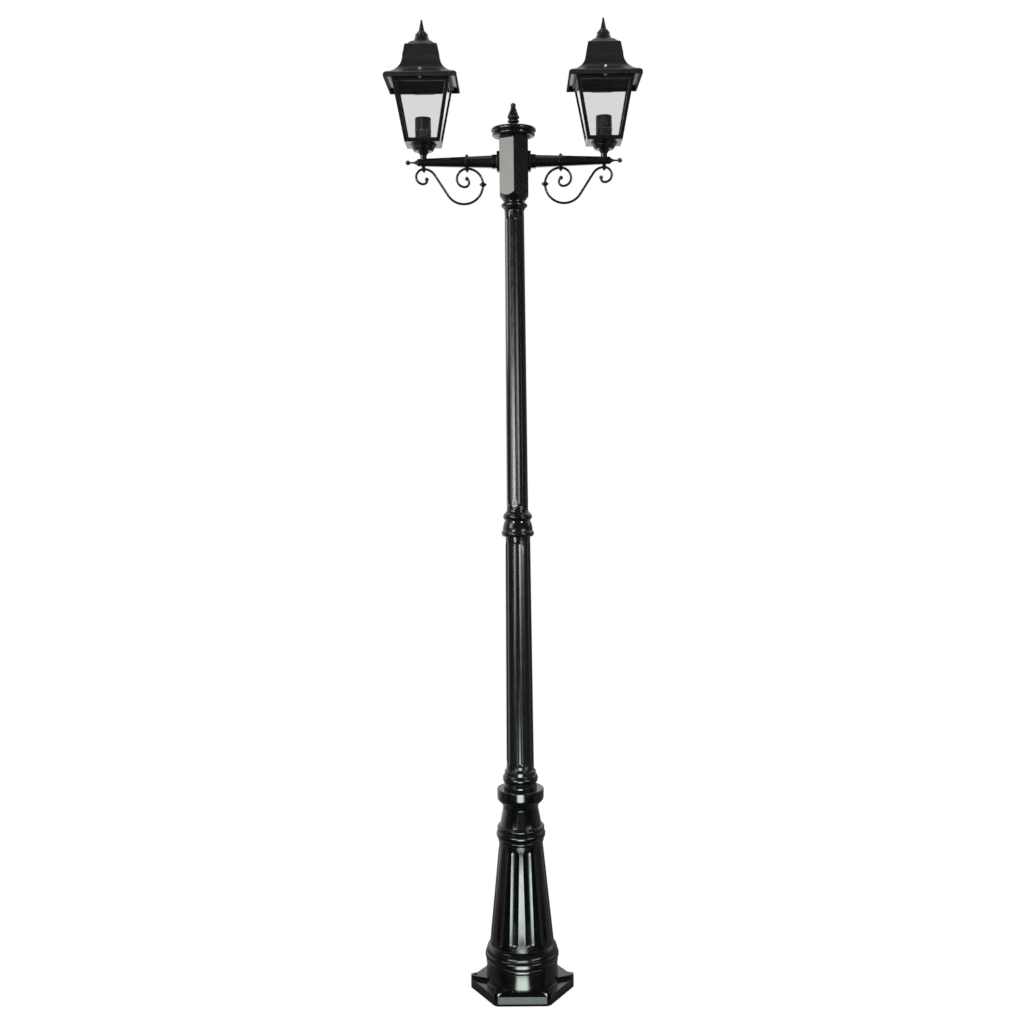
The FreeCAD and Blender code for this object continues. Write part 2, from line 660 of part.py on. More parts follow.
# Scroll: tangent arcs in the XZ plane about the arm axis
coil_top = -(arm_half(CLIP_X) + INNER_GAP + ROD_R)
curl_top = -(arm_half(LANTERN_X) + OUTER_GAP + ROD_R)
knuckle_x = CLIP_X - COIL_OUTER_R
knuckle_z = coil_top - COIL_OUTER_R


def on_arc(centre, radius, deg):
    """Point of an arc in the XZ plane, angles from +X towards +Z."""
    t = math.radians(deg)
    return V(centre[0] + radius * math.cos(t), 0, centre[1] + radius * math.sin(t))


def bend(centre, radius, from_deg, to_deg):
    """Round bar along an arc."""
    across = on_arc((0, 0), 1, from_deg + 90)
    section = Part.Face(Part.Wire(Part.makeCircle(ROD_R, on_arc(centre, radius, from_deg), across)))
    return section.revolve(V(centre[0], 0, centre[1]), V(0, -1, 0), to_deg - from_deg)


def spiral(x, top, radii, eye_turn):
    """Bends that wind down from (x, top) over quarter turns, and the end of the last one."""
    upper_r, lower_r, eye_r = radii
    upper = (x, top - upper_r)
    lower = (x + upper_r - lower_r, upper[1])
    eye = (lower[0], lower[1] - lower_r + eye_r)
    bends = [bend(upper, upper_r, 90, 0), bend(lower, lower_r, 0, -90), bend(eye, eye_r, -90, -90 - eye_turn)]
    return bends, on_arc(eye, eye_r, -90 - eye_turn)


def scroll():
    """Inner coil, belly, straight and outer curl, each tangent to the next, with balls at the ends."""
    coil, coil_end = spiral(CLIP_X, coil_top, (COIL_UPPER_R, COIL_LOWER_R, COIL_EYE_R), COIL_EYE_TURN)
    curl, curl_end = spiral(LANTERN_X, curl_top, (CURL_UPPER_R, CURL_LOWER_R, CURL_EYE_R), CURL_EYE_TURN)
    belly = (knuckle_x + BELLY_R, knuckle_z)
    crest = (LANTERN_X, curl_top - CURL_OUTER_R)
    span = math.hypot(crest[0] - belly[0], crest[1] - belly[1])
    heading = math.degrees(math.atan2(crest[1] - belly[1], crest[0] - belly[0])
                           + math.asin((BELLY_R + CURL_OUTER_R) / span))
    leave = on_arc(belly, BELLY_R, 270 + heading)
    meet = on_arc(crest, CURL_OUTER_R, 90 + heading)
    straight = cylinder(ROD_R, (meet - leave).Length, leave, meet - leave)
    bar = [bend((CLIP_X, knuckle_z), COIL_OUTER_R, 90, 180), bend(belly, BELLY_R, 180, 270 + heading),
           straight, bend(crest, CURL_OUTER_R, 90 + heading, 90)]
    balls = [Part.makeSphere(ROD_BALL_R, coil_end), Part.makeSphere(ROD_BALL_R, curl_end)]
    return on_arm_axis(bar[0].fuse(bar[1:] + coil + curl + balls))


def scroll_knuckle():
    """Double cone round the bar where the coil meets the belly."""
    half = KNUCKLE_H / 2
    bore = ROD_R + ROD_PLAY
    bicone = turned((bore, -half), (bore + 1, -half), (KNUCKLE_R, -half / 6), (KNUCKLE_R, half / 6),
                    (bore + 1, half), (bore, half))
    bicone.translate(V(knuckle_x, 0, knuckle_z))
    return on_arm_axis(bicone)


def clip(x, bar_z, over_the_top):
    """Strap round arm and bar with pointed ends, seen from the front as a narrow lozenge."""
    half = arm_half(x) + CLIP_T
    top = half + CLIP_POINT if over_the_top else 0.0
    bottom = bar_z - ROD_R - CLIP_TAB
    side = CLIP_W / 2
    lozenge = [(-side, bottom + CLIP_POINT), (0, bottom), (side, bottom + CLIP_POINT),
               (side, top - CLIP_POINT)]
    if over_the_top:
        lozenge = lozenge + [(0, top)]
    lozenge = lozenge + [(-side, top - CLIP_POINT)]
    front = outline([V(x + u, -half, w) for u, w in lozenge]).extrude(V(0, 2 * half, 0))
    band = outline(polygon_x(x - side, 2 * half)).extrude(V(CLIP_W, 0, 0))
    tab = box(x - side, x + side, -CLIP_TAB_W / 2, CLIP_TAB_W / 2, bottom, 0)
    point = box(x - side, x + side, -CLIP_TAB_W / 3, CLIP_TAB_W / 3, 0, half + CLIP_POINT)
    bar = cylinder(ROD_R + ROD_PLAY, CLIP_W, V(x - side, 0, bar_z), V(1, 0, 0))
    return on_arm_axis(band.fuse([tab, point]).common(front).cut([arm_bar(SLIP), bar]).removeSplitter())


# Lantern, built about its own axis and then moved to the arm
stem_foot = arm_z + arm_half(LANTERN_X) - STEM_SADDLE
frame_foot = arm_z + FRAME_RISE
cup_foot = frame_foot - CUP_H
floor_top = frame_foot + FRAME_FLOOR
frame_top = frame_foot + FRAME_H
head_half = FRAME_TOP_W / 2


def frame_width(z):
    return taper(FRAME_BASE_W, FRAME_TOP_W, (z - frame_foot) / FRAME_H)


def at_lantern(shape):
    shape.translate(V(LANTERN_X, 0, 0))
    return shape


def lantern_stem():
    bore = NIPPLE_R + SLIP
    flare_foot = cup_foot - STEM_FLARE_H
    stem = at_lantern(turned(
        (bore, stem_foot), (STEM_R, stem_foot), (STEM_R, flare_foot),
        (taper(STEM_R, STEM_TOP_R, 0.3), taper(flare_foot, cup_foot, 0.65), STEM_TOP_R, cup_foot),
        (bore, cup_foot)))
    return stem.cut(on_arm_axis(arm_bar()))


def lantern_cup():
    bore = NIPPLE_R + SLIP
    mid_r = taper(CUP_FOOT_R, CUP_TOP_R, 0.62)
    mid_z = taper(cup_foot, frame_foot, 0.5)
    return at_lantern(turned(
        (bore, cup_foot), (CUP_FOOT_R, cup_foot),
        (taper(CUP_FOOT_R, mid_r, 0.6), taper(cup_foot, mid_z, 0.4), mid_r, mid_z),
        (mid_r - CUP_GROOVE, mid_z + CUP_GROOVE), (mid_r + CUP_GROOVE, mid_z + 2 * CUP_GROOVE),
        (CUP_TOP_R, frame_foot), (bore, frame_foot)))


def lantern_nipple():
    foot = arm_z + arm_half(LANTERN_X) - NIPPLE_GRIP
    top = floor_top + NIPPLE_GRIP
    return at_lantern(turned((NIPPLE_BORE_R, foot), (NIPPLE_R, foot), (NIPPLE_R, top), (NIPPLE_BORE_R, top)))


hinge_y = head_half + HINGE_OUT
hinge_z = frame_top - HINGE_DROP
stud_y = -(head_half + LUG_OUT - LUG_W / 2)


def lantern_frame():
    """Tapering four-sided shell with a floor, opened by a window in each side."""
    def shell(inset, z_low):
        z_high = frame_top + (1 if inset else 0)
        return frustum(square(frame_width(z_low) - 2 * inset, z_low),
                       square(frame_width(z_high) - 2 * inset, z_high))
    sill, head = frame_foot + BASE_RAIL_H, frame_top - HEAD_RAIL_H
    sill_half, head_half_w = frame_width(sill) / 2 - POST_W, frame_width(head) / 2 - POST_W
    reach = FRAME_TOP_W
    window = outline([V(-sill_half, -reach, sill), V(sill_half, -reach, sill),
                      V(head_half_w, -reach, head), V(-head_half_w, -reach, head)]).extrude(V(0, reach, 0))
    frame = shell(0, frame_foot).cut(shell(FRAME_WALL, floor_top)).cut(ring_of(window, 4))
    frame = frame.cut(cylinder(NIPPLE_R + SLIP, FRAME_FLOOR, V(0, 0, frame_foot)))
    half_l = FRAME_BARREL_L / 2
    rail_face = frame_width(hinge_z - BARREL_R / 2) / 2 - FRAME_WALL / 2
    barrel = cylinder(BARREL_R, FRAME_BARREL_L, V(-half_l, hinge_y, hinge_z), V(1, 0, 0))
    web = box(-half_l, half_l, rail_face, hinge_y, hinge_z - BARREL_R / 2, hinge_z + BARREL_R / 2)
    pin = cylinder(PIN_R + SLIP, FRAME_BARREL_L, V(-half_l, hinge_y, hinge_z), V(1, 0, 0))
    lug_foot = frame_top - LUG_T
    lug = box(-LUG_W / 2, LUG_W / 2, stud_y, (FRAME_WALL - frame_width(lug_foot)) / 2, lug_foot, frame_top)
    lug = lug.fuse(cylinder(LUG_W / 2, LUG_T, V(0, stud_y, lug_foot)))
    stud = cylinder(STUD_R + SLIP, LUG_T, V(0, stud_y, lug_foot))
    return at_lantern(frame.fuse([barrel, web, lug]).cut([pin, stud]).removeSplitter())


def pane(turn):
    """Slanted pane against the inside of one frame side; turned panes fit between the other two."""
    z_low, z_high = floor_top, frame_top - GLASS_PLAY
    side_pane = turn % 180 != 0
    rims = []
    for z in (z_low, z_high):
        face = frame_width(z) / 2 - FRAME_WALL
        half = face - GLASS_PLAY - (GLASS_T + GLASS_PLAY if side_pane else 0)
        rims.append([V(-half, -face, z), V(half, -face, z), V(half, GLASS_T - face, z),
                     V(-half, GLASS_T - face, z)])
    glass = frustum(*rims)
    glass.rotate(V(0, 0, 0), UP, turn)
    return at_lantern(glass)


holder_top = floor_top + HOLDER_H


def lampholder():
    ring_low = floor_top + HOLDER_RING_Z
    ring_high = ring_low + HOLDER_RING_H
    groove = HOLDER_R - HOLDER_GROOVE
    edge = HOLDER_GROOVE
    body = turned((0, floor_top), (HOLDER_R, floor_top), (HOLDER_R, ring_low), (groove, ring_low),
                  (groove, ring_high), (HOLDER_R, ring_high), (HOLDER_R, holder_top - edge),
                  (HOLDER_R - edge, holder_top), (0, holder_top))
    mouth = cylinder(SOCKET_BORE_R, SOCKET_DEPTH, V(0, 0, holder_top - SOCKET_DEPTH))
    seat = cylinder(NIPPLE_R + SLIP, NIPPLE_GRIP, V(0, 0, floor_top))
    return at_lantern(body.cut([mouth, seat]))


def lampholder_ring():
    inner = HOLDER_R - HOLDER_GROOVE + SLIP
    low = floor_top + HOLDER_RING_Z
    high = low + HOLDER_RING_H
    return at_lantern(turned((inner, low), (HOLDER_RING_R, low), (HOLDER_RING_R, high), (inner, high)))


# Roof
eave_half = EAVE_W / 2
eave_top = frame_top + EAVE_H
eave_foot = frame_top - EAVE_DROP
waist_half = WAIST_W / 2
flare_x = waist_half + FLARE_R
rim_x = eave_half - EAVE_NOSE
flare_z = eave_top + math.sqrt(FLARE_R ** 2 - (flare_x - rim_x) ** 2)
shoulder_z = flare_z + SIDE_H
crown_z = shoulder_z + SHOULDER_R + CROWN_RISE
nut_seat = flare_z - math.sqrt(FLARE_R ** 2 - (flare_x + stud_y + BOSS_R) ** 2) + BOSS_H
finial_foot = crown_z + CROWN_NECK_H


def roof_side(radius, low_x, low_z):
    """Hollow curve from (low_x, low_z) up to the waist, as an arc step about the flare centre."""
    low = math.atan2(low_z - flare_z, low_x - flare_x)
    middle = (low - math.pi) / 2 if low < 0 else (low + math.pi) / 2
    return (flare_x + radius * math.cos(middle), flare_z + radius * math.sin(middle),
            flare_x - radius, flare_z)


def mitred(start, steps):
    """Four-sided solid whose front and side outlines are both the given half outline."""
    half = Part.Wire(profile(start, steps))
    end = steps[-1]
    closed = Part.Wire(half.Edges + [Part.makeLine(V(end[-2], 0, end[-1]), V(0, 0, end[-1])),
                                     Part.makeLine(V(0, 0, end[-1]), V(0, 0, start[1])),
                                     Part.makeLine(V(0, 0, start[1]), V(start[0], 0, start[1]))])
    right = Part.Face(closed)
    right.translate(V(0, -EAVE_W, 0))
    slab = right.extrude(V(0, 2 * EAVE_W, 0))
    slab = slab.fuse(slab.mirror(V(0, 0, 0), V(1, 0, 0))).removeSplitter()
    across = slab.copy()
    across.rotate(V(0, 0, 0), UP, 90)
    return slab.common(across)


def roof():
    """Bell-shaped four-sided roof: rolled eave, hollow sides, rounded shoulder and round neck."""
    shoulder_half = SHOULDER_W / 2
    top_half = shoulder_half - SHOULDER_R
    outer = mitred((eave_half, eave_foot), [
        (eave_half, taper(frame_top, eave_top, 0.2)),
        (taper(eave_half, rim_x, 0.39), taper(frame_top, eave_top, 0.73), rim_x, eave_top),
        roof_side(FLARE_R, rim_x, eave_top),
        (shoulder_half, shoulder_z),
        (taper(shoulder_half, top_half, 0.25), shoulder_z + 0.7 * SHOULDER_R,
         top_half, shoulder_z + SHOULDER_R),
        (CROWN_W / 2, crown_z)])
    seat_in = head_half - SEAT_INSIDE
    inner_r = FLARE_R + ROOF_WALL
    lift = flare_z - math.sqrt(inner_r ** 2 - (flare_x - seat_in) ** 2)
    inner = mitred((seat_in, frame_top), [
        (seat_in, lift), roof_side(inner_r, seat_in, lift),
        (shoulder_half - ROOF_WALL, shoulder_z),
        (CROWN_W / 2 - ROOF_WALL, crown_z - 1.5 * ROOF_WALL)])
    soffit_out, soffit_in = eave_half - EAVE_LIP, seat_in + ROOF_SEAT_W
    soffit = outline(square(2 * soffit_out, frame_top)).extrude(V(0, 0, SOFFIT_RECESS))
    soffit = soffit.cut(outline(square(2 * soffit_in, frame_top)).extrude(V(0, 0, SOFFIT_RECESS)))
    under = outline(square(2 * soffit_out, eave_foot)).extrude(V(0, 0, EAVE_DROP))
    sweep_top, lip_foot = crown_z + SWEEP_H, finial_foot - NECK_LIP_H
    lip = CROWN_NECK_R + NECK_LIP
    neck = turned((0, shoulder_z), (SWEEP_R, shoulder_z), (SWEEP_R, crown_z),
                  (taper(SWEEP_R, NECK_SWEEP_R, 0.6), taper(crown_z, sweep_top, 0.52),
                   NECK_SWEEP_R, sweep_top),
                  (CROWN_NECK_R, lip_foot), (lip, lip_foot), (lip, finial_foot), (0, finial_foot))
    tang = cylinder(SPIKE_TANG_R + SLIP, SPIKE_TANG_L, V(0, 0, finial_foot - SPIKE_TANG_L))
    boss_foot = taper(frame_top + SOFFIT_RECESS, eave_top, 0.5)
    boss = cylinder(BOSS_R, nut_seat - boss_foot, V(0, stud_y, boss_foot))
    stud = cylinder(STUD_HOLE_R, FLARE_R, V(0, stud_y - STUD_HOLE_OUT, frame_top))
    shell = outer.fuse(boss).cut([inner, soffit, under]).fuse(neck).cut([tang, stud])
    inside = FRAME_BARREL_L / 2 + SIDE_PLAY
    for x in (inside, -inside - ROOF_BARREL_L):
        barrel = cylinder(BARREL_R, ROOF_BARREL_L, V(x, hinge_y, hinge_z), V(1, 0, 0))
        web = box(x, x + ROOF_BARREL_L, hinge_y - BARREL_R, soffit_out, hinge_z,
                  frame_top + SOFFIT_RECESS)
        pin = cylinder(PIN_R + PIN_PLAY, ROOF_BARREL_L, V(x, hinge_y, hinge_z), V(1, 0, 0))
        shell = shell.fuse([barrel, web]).cut(pin)
    return at_lantern(shell.removeSplitter())


def roof_finial():
    """Ring and hollow-sided spike, with a tang in the neck."""
    tang_foot = finial_foot - SPIKE_TANG_L
    ring_top = finial_foot + SPIKE_RING_H
    tip_z = ring_top + SPIKE_H - SPIKE_TIP_R
    return at_lantern(turned(
        (0, tang_foot), (SPIKE_TANG_R, tang_foot), (SPIKE_TANG_R, finial_foot),
        (SPIKE_RING_R, finial_foot), (SPIKE_RING_R, taper(finial_foot, ring_top, 0.6)),
        (SPIKE_FOOT_R, ring_top),
        (taper(SPIKE_FOOT_R, SPIKE_TIP_R, 0.64), taper(ring_top, tip_z, 0.42), SPIKE_TIP_R, tip_z),
        dome(SPIKE_TIP_R, tip_z)))


def hinge_pin():
    half = FRAME_BARREL_L / 2 + SIDE_PLAY + ROOF_BARREL_L
    return at_lantern(cylinder(PIN_R, 2 * half, V(-half, hinge_y, hinge_z), V(1, 0, 0)))


def roof_stud():
    """Stud through the front lug, with a round head below the lug."""
    foot = frame_top - LUG_T
    head = turned((0, foot), (STUD_HEAD_R, foot), dome(STUD_HEAD_R, foot, -STUD_HEAD_H))
    stud = head.fuse(cylinder(STUD_R, nut_seat + STUD_IN_NUT - foot, V(0, 0, foot)))
    stud.translate(V(0, stud_y, 0))
    return at_lantern(stud.removeSplitter())


def roof_nut():
    """Dome nut over the stud, seated on the roof's boss."""
    wall_top = nut_seat + DOME_NUT_H - DOME_NUT_R
    nut = turned((0, nut_seat), (DOME_NUT_R, nut_seat), (DOME_NUT_R, wall_top), dome(DOME_NUT_R, wall_top))
    nut = nut.cut(cylinder(STUD_R + NUT_PLAY, STUD_IN_NUT + NUT_PLAY, V(0, 0, nut_seat)))
    nut.translate(V(0, stud_y, 0))
    return at_lantern(nut)


parts["base_pedestal"] = base_pedestal()
parts["base_coupling"] = sleeve(LOWER_BORE_R, pedestal_top - SLEEVE_GRIP, pedestal_top + SLEEVE_GRIP)
parts["lower_shaft"] = lower_shaft()
parts["coupling_collar"] = coupling_collar()
parts["shaft_coupling"] = shaft_coupling()
parts["upper_shaft"] = upper_shaft()
parts["neck_collar"] = neck_collar()
parts["head_box"] = head_box()
parts["terminal_block"] = terminal_block()
parts["head_gasket"] = head_gasket()
parts["head_cap"] = head_cap()
parts["cap_finial"] = cap_finial()

right_side = {
    "arm_socket": arm_socket(), "arm": arm(), "arm_nut": arm_nut(), "arm_tip": arm_tip(),
    "scroll": scroll(), "scroll_knuckle": scroll_knuckle(),
    "inner_clip": clip(CLIP_X, coil_top, True), "outer_clip": clip(LANTERN_X, curl_top, False),
    "lantern_stem": lantern_stem(), "lantern_nipple": lantern_nipple(), "lantern_cup": lantern_cup(),
    "lantern_frame": lantern_frame(), "pane_front": pane(0), "pane_outer": pane(90), "pane_rear": pane(180),
    "pane_inner": pane(270), "lampholder": lampholder(), "lampholder_ring": lampholder_ring(),
    "roof": roof(), "roof_finial": roof_finial(), "hinge_pin": hinge_pin(),
    "roof_stud": roof_stud(), "roof_nut": roof_nut(),
}
for name, shape in right_side.items():
    parts[name + "_right"] = shape
    parts[name + "_left"] = shape.mirror(V(0, 0, 0), V(1, 0, 0))

os.makedirs("parts", exist_ok=True)
for name, shape in parts.items():
    shape.exportStep("parts/" + name + ".step")
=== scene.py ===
import math

import bmesh
import bpy
import numpy as np
from bpy.props import FloatProperty, FloatVectorProperty, IntProperty, PointerProperty
from mathutils import Matrix, Vector


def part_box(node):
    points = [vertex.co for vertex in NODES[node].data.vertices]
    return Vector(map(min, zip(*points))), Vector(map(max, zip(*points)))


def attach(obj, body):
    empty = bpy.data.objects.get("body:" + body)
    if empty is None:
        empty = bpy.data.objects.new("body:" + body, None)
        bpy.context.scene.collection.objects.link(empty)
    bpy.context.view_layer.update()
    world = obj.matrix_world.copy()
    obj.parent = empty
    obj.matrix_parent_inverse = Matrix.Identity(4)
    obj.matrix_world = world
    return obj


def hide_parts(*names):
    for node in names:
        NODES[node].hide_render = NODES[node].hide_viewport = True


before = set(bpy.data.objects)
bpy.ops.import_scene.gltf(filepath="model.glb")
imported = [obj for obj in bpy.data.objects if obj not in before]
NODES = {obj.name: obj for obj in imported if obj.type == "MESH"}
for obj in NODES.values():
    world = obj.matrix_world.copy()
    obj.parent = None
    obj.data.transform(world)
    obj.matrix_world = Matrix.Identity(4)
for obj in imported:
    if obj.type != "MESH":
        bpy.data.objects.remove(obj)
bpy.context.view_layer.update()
SIDES = ("left", "right")
BODY = "post"

bl_info = {
    "name": "Double Head Lamp Post",
    "version": (1, 0, 0),
    "blender": (4, 5, 0),
    "location": "View3D > Sidebar > Lamp Post",
    "description": "Dresses the lamp post's frame with paint, glass, fittings and a white stage",
    "category": "Object",
}

# Sizes that more than one piece uses, in metres

TANG_R = 0.0038
WELL_DEPTH = 0.0270


# Settings


class PaintSettings(bpy.types.PropertyGroup):
    """Powder coat of the castings and of the lantern roofs."""
    gloss_colour: FloatVectorProperty(
        name="Gloss Colour", description="Paint of the post, arms and lantern frames",
        subtype="COLOR", size=3, min=0.0, max=1.0, default=(0.0072, 0.0078, 0.0076))
    gloss_roughness: FloatProperty(
        name="Gloss Roughness", description="Mean roughness of the gloss paint",
        subtype="FACTOR", min=0.0, max=1.0, default=0.16)
    gloss_dust: FloatProperty(
        name="Gloss Dust", description="Most dust that lies on the gloss paint",
        subtype="FACTOR", min=0.0, max=1.0, default=0.05)
    gloss_ripple: FloatProperty(
        name="Gloss Ripple", description="Height of the ripples in the gloss paint",
        unit="LENGTH", precision=6, min=0.0, max=0.001, default=0.000009)
    satin_colour: FloatVectorProperty(
        name="Satin Colour", description="Paint of the lantern roofs",
        subtype="COLOR", size=3, min=0.0, max=1.0, default=(0.0135, 0.0135, 0.0138))
    satin_roughness: FloatProperty(
        name="Satin Roughness", description="Mean roughness of the roof paint",
        subtype="FACTOR", min=0.0, max=1.0, default=0.32)
    satin_dust: FloatProperty(
        name="Satin Dust", description="Most dust that lies on the roof paint",
        subtype="FACTOR", min=0.0, max=1.0, default=0.06)
    satin_ripple: FloatProperty(
        name="Satin Ripple", description="Height of the ripples in the roof paint",
        unit="LENGTH", precision=6, min=0.0, max=0.001, default=0.000040)
    peel_size: FloatProperty(
        name="Peel Size", description="Width of one ripple in the powder coat",
        unit="LENGTH", min=0.0002, max=0.02, default=0.0030)
    edge_radius: FloatProperty(
        name="Edge Radius", description="Rounding of painted edges",
        unit="LENGTH", min=0.0, max=0.005, default=0.0014)


class GlassSettings(bpy.types.PropertyGroup):
    """Lantern panes."""
    tint: FloatVectorProperty(
        name="Tint", description="Colour of light that passes a pane's face",
        subtype="COLOR", size=3, min=0.0, max=1.0, default=(0.888, 0.890, 0.896))
    film: FloatProperty(
        name="Film", description="Roughness that dust adds along the panes' lower edges",
        subtype="FACTOR", min=0.0, max=0.5, default=0.06)


class FittingSettings(bpy.types.PropertyGroup):
    """Carved bud, lampholders and dome nuts."""
    thread_pitch: FloatProperty(
        name="Thread Pitch", description="Rise of the lampholder's screw shell in one turn",
        unit="LENGTH", min=0.001, max=0.01, default=0.0036)
    thread_depth: FloatProperty(
        name="Thread Depth", description="Depth of the screw shell's thread from crest to root",
        unit="LENGTH", min=0.0001, max=0.0015, default=0.00055)
    ring_ribs: IntProperty(
        name="Ring Ribs", description="Grip ribs around a lampholder ring", min=12, max=96, default=48)
    bud_scales: IntProperty(
        name="Bud Scales", description="Carved scales in one row around the bud on the cap",
        min=4, max=12, default=7)
    nut_flats: FloatProperty(
        name="Nut Flats", description="Width of a dome nut across its flats",
        unit="LENGTH", min=0.004, max=0.03, default=0.0080)


class StageSettings(bpy.types.PropertyGroup):
    """Camera, lamps and floor."""
    eye: FloatVectorProperty(
        name="Eye", description="Camera position", subtype="XYZ", size=3, unit="LENGTH",
        default=(0.0103, -3.7876, 1.7150))
    pan: FloatProperty(
        name="Pan", description="Camera turn to the left", subtype="ANGLE", default=math.radians(0.40))
    tilt: FloatProperty(
        name="Tilt", description="Camera tilt below the horizon",
        subtype="ANGLE", default=math.radians(4.217))
    roll: FloatProperty(
        name="Roll", description="Camera roll", subtype="ANGLE", default=math.radians(-0.625))
    lens: FloatProperty(
        name="Lens", description="Focal length on a 36 mm wide film", min=10.0, max=200.0, default=45.43)
    ambient: FloatProperty(
        name="Ambient", description="Level of the light from all around", min=0.0, max=2.0, default=0.35)
    strip_radiance: FloatProperty(
        name="Strip Radiance", description="Brightness of the two upright strip lamps",
        min=0.0, max=50.0, default=6.0)
    panel_radiance: FloatProperty(
        name="Panel Radiance", description="Brightness of the two far panels that the gloss paint mirrors",
        min=0.0, max=50.0, default=16.0)
    window_radiance: FloatProperty(
        name="Window Radiance", description="Brightness of the high lamp on the left",
        min=0.0, max=50.0, default=9.5)
    spark_radiance: FloatProperty(
        name="Spark Radiance",
        description="Brightness of the two small lamps that put sparks on round mouldings",
        min=0.0, max=1000.0, default=100.0)
    runway_radiance: FloatProperty(
        name="Runway Radiance",
        description="Brightness of the lit paper in front, as the gloss paint mirrors it",
        min=0.0, max=50.0, default=22.0)


SETTINGS = {"lamp_post_paint": PaintSettings, "lamp_post_glass": GlassSettings,
            "lamp_post_fittings": FittingSettings, "lamp_post_stage": StageSettings}


# Shader node helpers

FLOAT, VECTOR = "NodeSocketFloat", "NodeSocketVector"
WHITE = (1.0, 1.0, 1.0, 1.0)

# Places of a Mix node's sockets when it mixes colours
MIX_FACTOR, MIX_A, MIX_B, MIX_RESULT = 0, 6, 7, 2


def show(tree, shader, output_kind):
    """Joins a shader to a new output node."""
    output = tree.nodes.new(output_kind)
    tree.links.new(shader.outputs[0], output.inputs["Surface"])


def blank_material(name):
    """Material with an empty node tree."""
    material = bpy.data.materials.new(name)
    material.use_nodes = True
    material.node_tree.nodes.clear()
    return material, material.node_tree


def new_material(name):
    """Material with a Principled shader joined to its output."""
    material, tree = blank_material(name)
    shader = tree.nodes.new("ShaderNodeBsdfPrincipled")
    show(tree, shader, "ShaderNodeOutputMaterial")
    return material, tree, shader


def connect(tree, value, socket):
    """Sets a socket to a value, or links it to another socket."""
    if isinstance(value, bpy.types.NodeSocket):
        tree.links.new(value, socket)
    else:
        socket.default_value = value


def fill(tree, node, **values):
    """Sets or links a node's inputs by name, where _ stands for a space."""
    for name, value in values.items():
        connect(tree, value, node.inputs[name.replace("_", " ")])
    return node


def put(tree, kind, **values):
    """New node with the named inputs set or linked."""
    return fill(tree, tree.nodes.new(kind), **values)


def place(tree, group, **values):
    """Node group placed in a tree, with the named inputs set or linked."""
    node = tree.nodes.new("ShaderNodeGroup")
    node.node_tree = group
    return fill(tree, node, **values)


def math_node(tree, operation, *values):
    """Result of a Math node on values or sockets."""
    node = tree.nodes.new("ShaderNodeMath")
    node.operation = operation
    for value, socket in zip(values, node.inputs):
        connect(tree, value, socket)
    return node.outputs[0]


def times(tree, a, b):
    """Product of two values or sockets."""
    return math_node(tree, "MULTIPLY", a, b)


def remap(tree, value, low, high, to_low, to_high):
    """Value carried from one range to another, and held at the ends."""
    node = put(tree, "ShaderNodeMapRange", Value=value, From_Min=low, From_Max=high,
               To_Min=to_low, To_Max=to_high)
    return node.outputs["Result"]


def band(tree, value, low, low_full, high_full, high):
    """1 between the two full levels, fading to 0 at the outer two."""
    return times(tree, remap(tree, value, low, low_full, 0.0, 1.0),
                 remap(tree, value, high_full, high, 1.0, 0.0))


def noise(tree, vector, scale, detail, roughness):
    """Level of a noise texture."""
    node = put(tree, "ShaderNodeTexNoise", Vector=vector, Scale=scale, Detail=detail, Roughness=roughness)
    return node.outputs["Fac"]


def mixed(tree, factor, a, b):
    """Blend of two colours."""
    node = tree.nodes.new("ShaderNodeMix")
    node.data_type = "RGBA"
    connect(tree, factor, node.inputs[MIX_FACTOR])
    connect(tree, a, node.inputs[MIX_A])
    connect(tree, b, node.inputs[MIX_B])
    return node.outputs[MIX_RESULT]


def rgba(colour, gain=1.0):
    """Opaque colour, made paler or darker by a gain."""
    return (*[min(c * gain, 1.0) for c in colour], 1.0)


def object_place(tree):
    """Object coordinates, which are the part's own frame in metres."""
    return tree.nodes.new("ShaderNodeTexCoord").outputs["Object"]


def axes_of(tree, vector):
    """X, Y and Z of a vector."""
    return put(tree, "ShaderNodeSeparateXYZ", Vector=vector).outputs


def upward(tree):
    """How far a face is turned up: 1 on top faces, 0 on walls, -1 on undersides."""
    normal = tree.nodes.new("ShaderNodeNewGeometry").outputs["Normal"]
    return axes_of(tree, normal)["Z"]


def unbounced(tree, path):
    """1 for what the camera sees straight or through glass, with no bounce off a surface before."""
    bounces = math_node(tree, "ADD", path["Diffuse Depth"], path["Glossy Depth"])
    through = times(tree, path["Is Transmission Ray"], math_node(tree, "LESS_THAN", bounces, 0.5))
    return math_node(tree, "MAXIMUM", path["Is Camera Ray"], through)


# Effects that several materials share


def new_group(name, inputs, outputs):
    """Node group with float or vector sockets; returns the tree and its two end nodes."""
    tree = bpy.data.node_groups.new(name, "ShaderNodeTree")
    for socket, kind in inputs:
        tree.interface.new_socket(socket, in_out="INPUT", socket_type=kind)
    for socket, kind in outputs:
        tree.interface.new_socket(socket, in_out="OUTPUT", socket_type=kind)
    return tree, tree.nodes.new("NodeGroupInput"), tree.nodes.new("NodeGroupOutput")


def shared_group(name, maker):
    """Node group of that name, made the first time that it is asked for."""
    return bpy.data.node_groups.get(name) or maker(name)


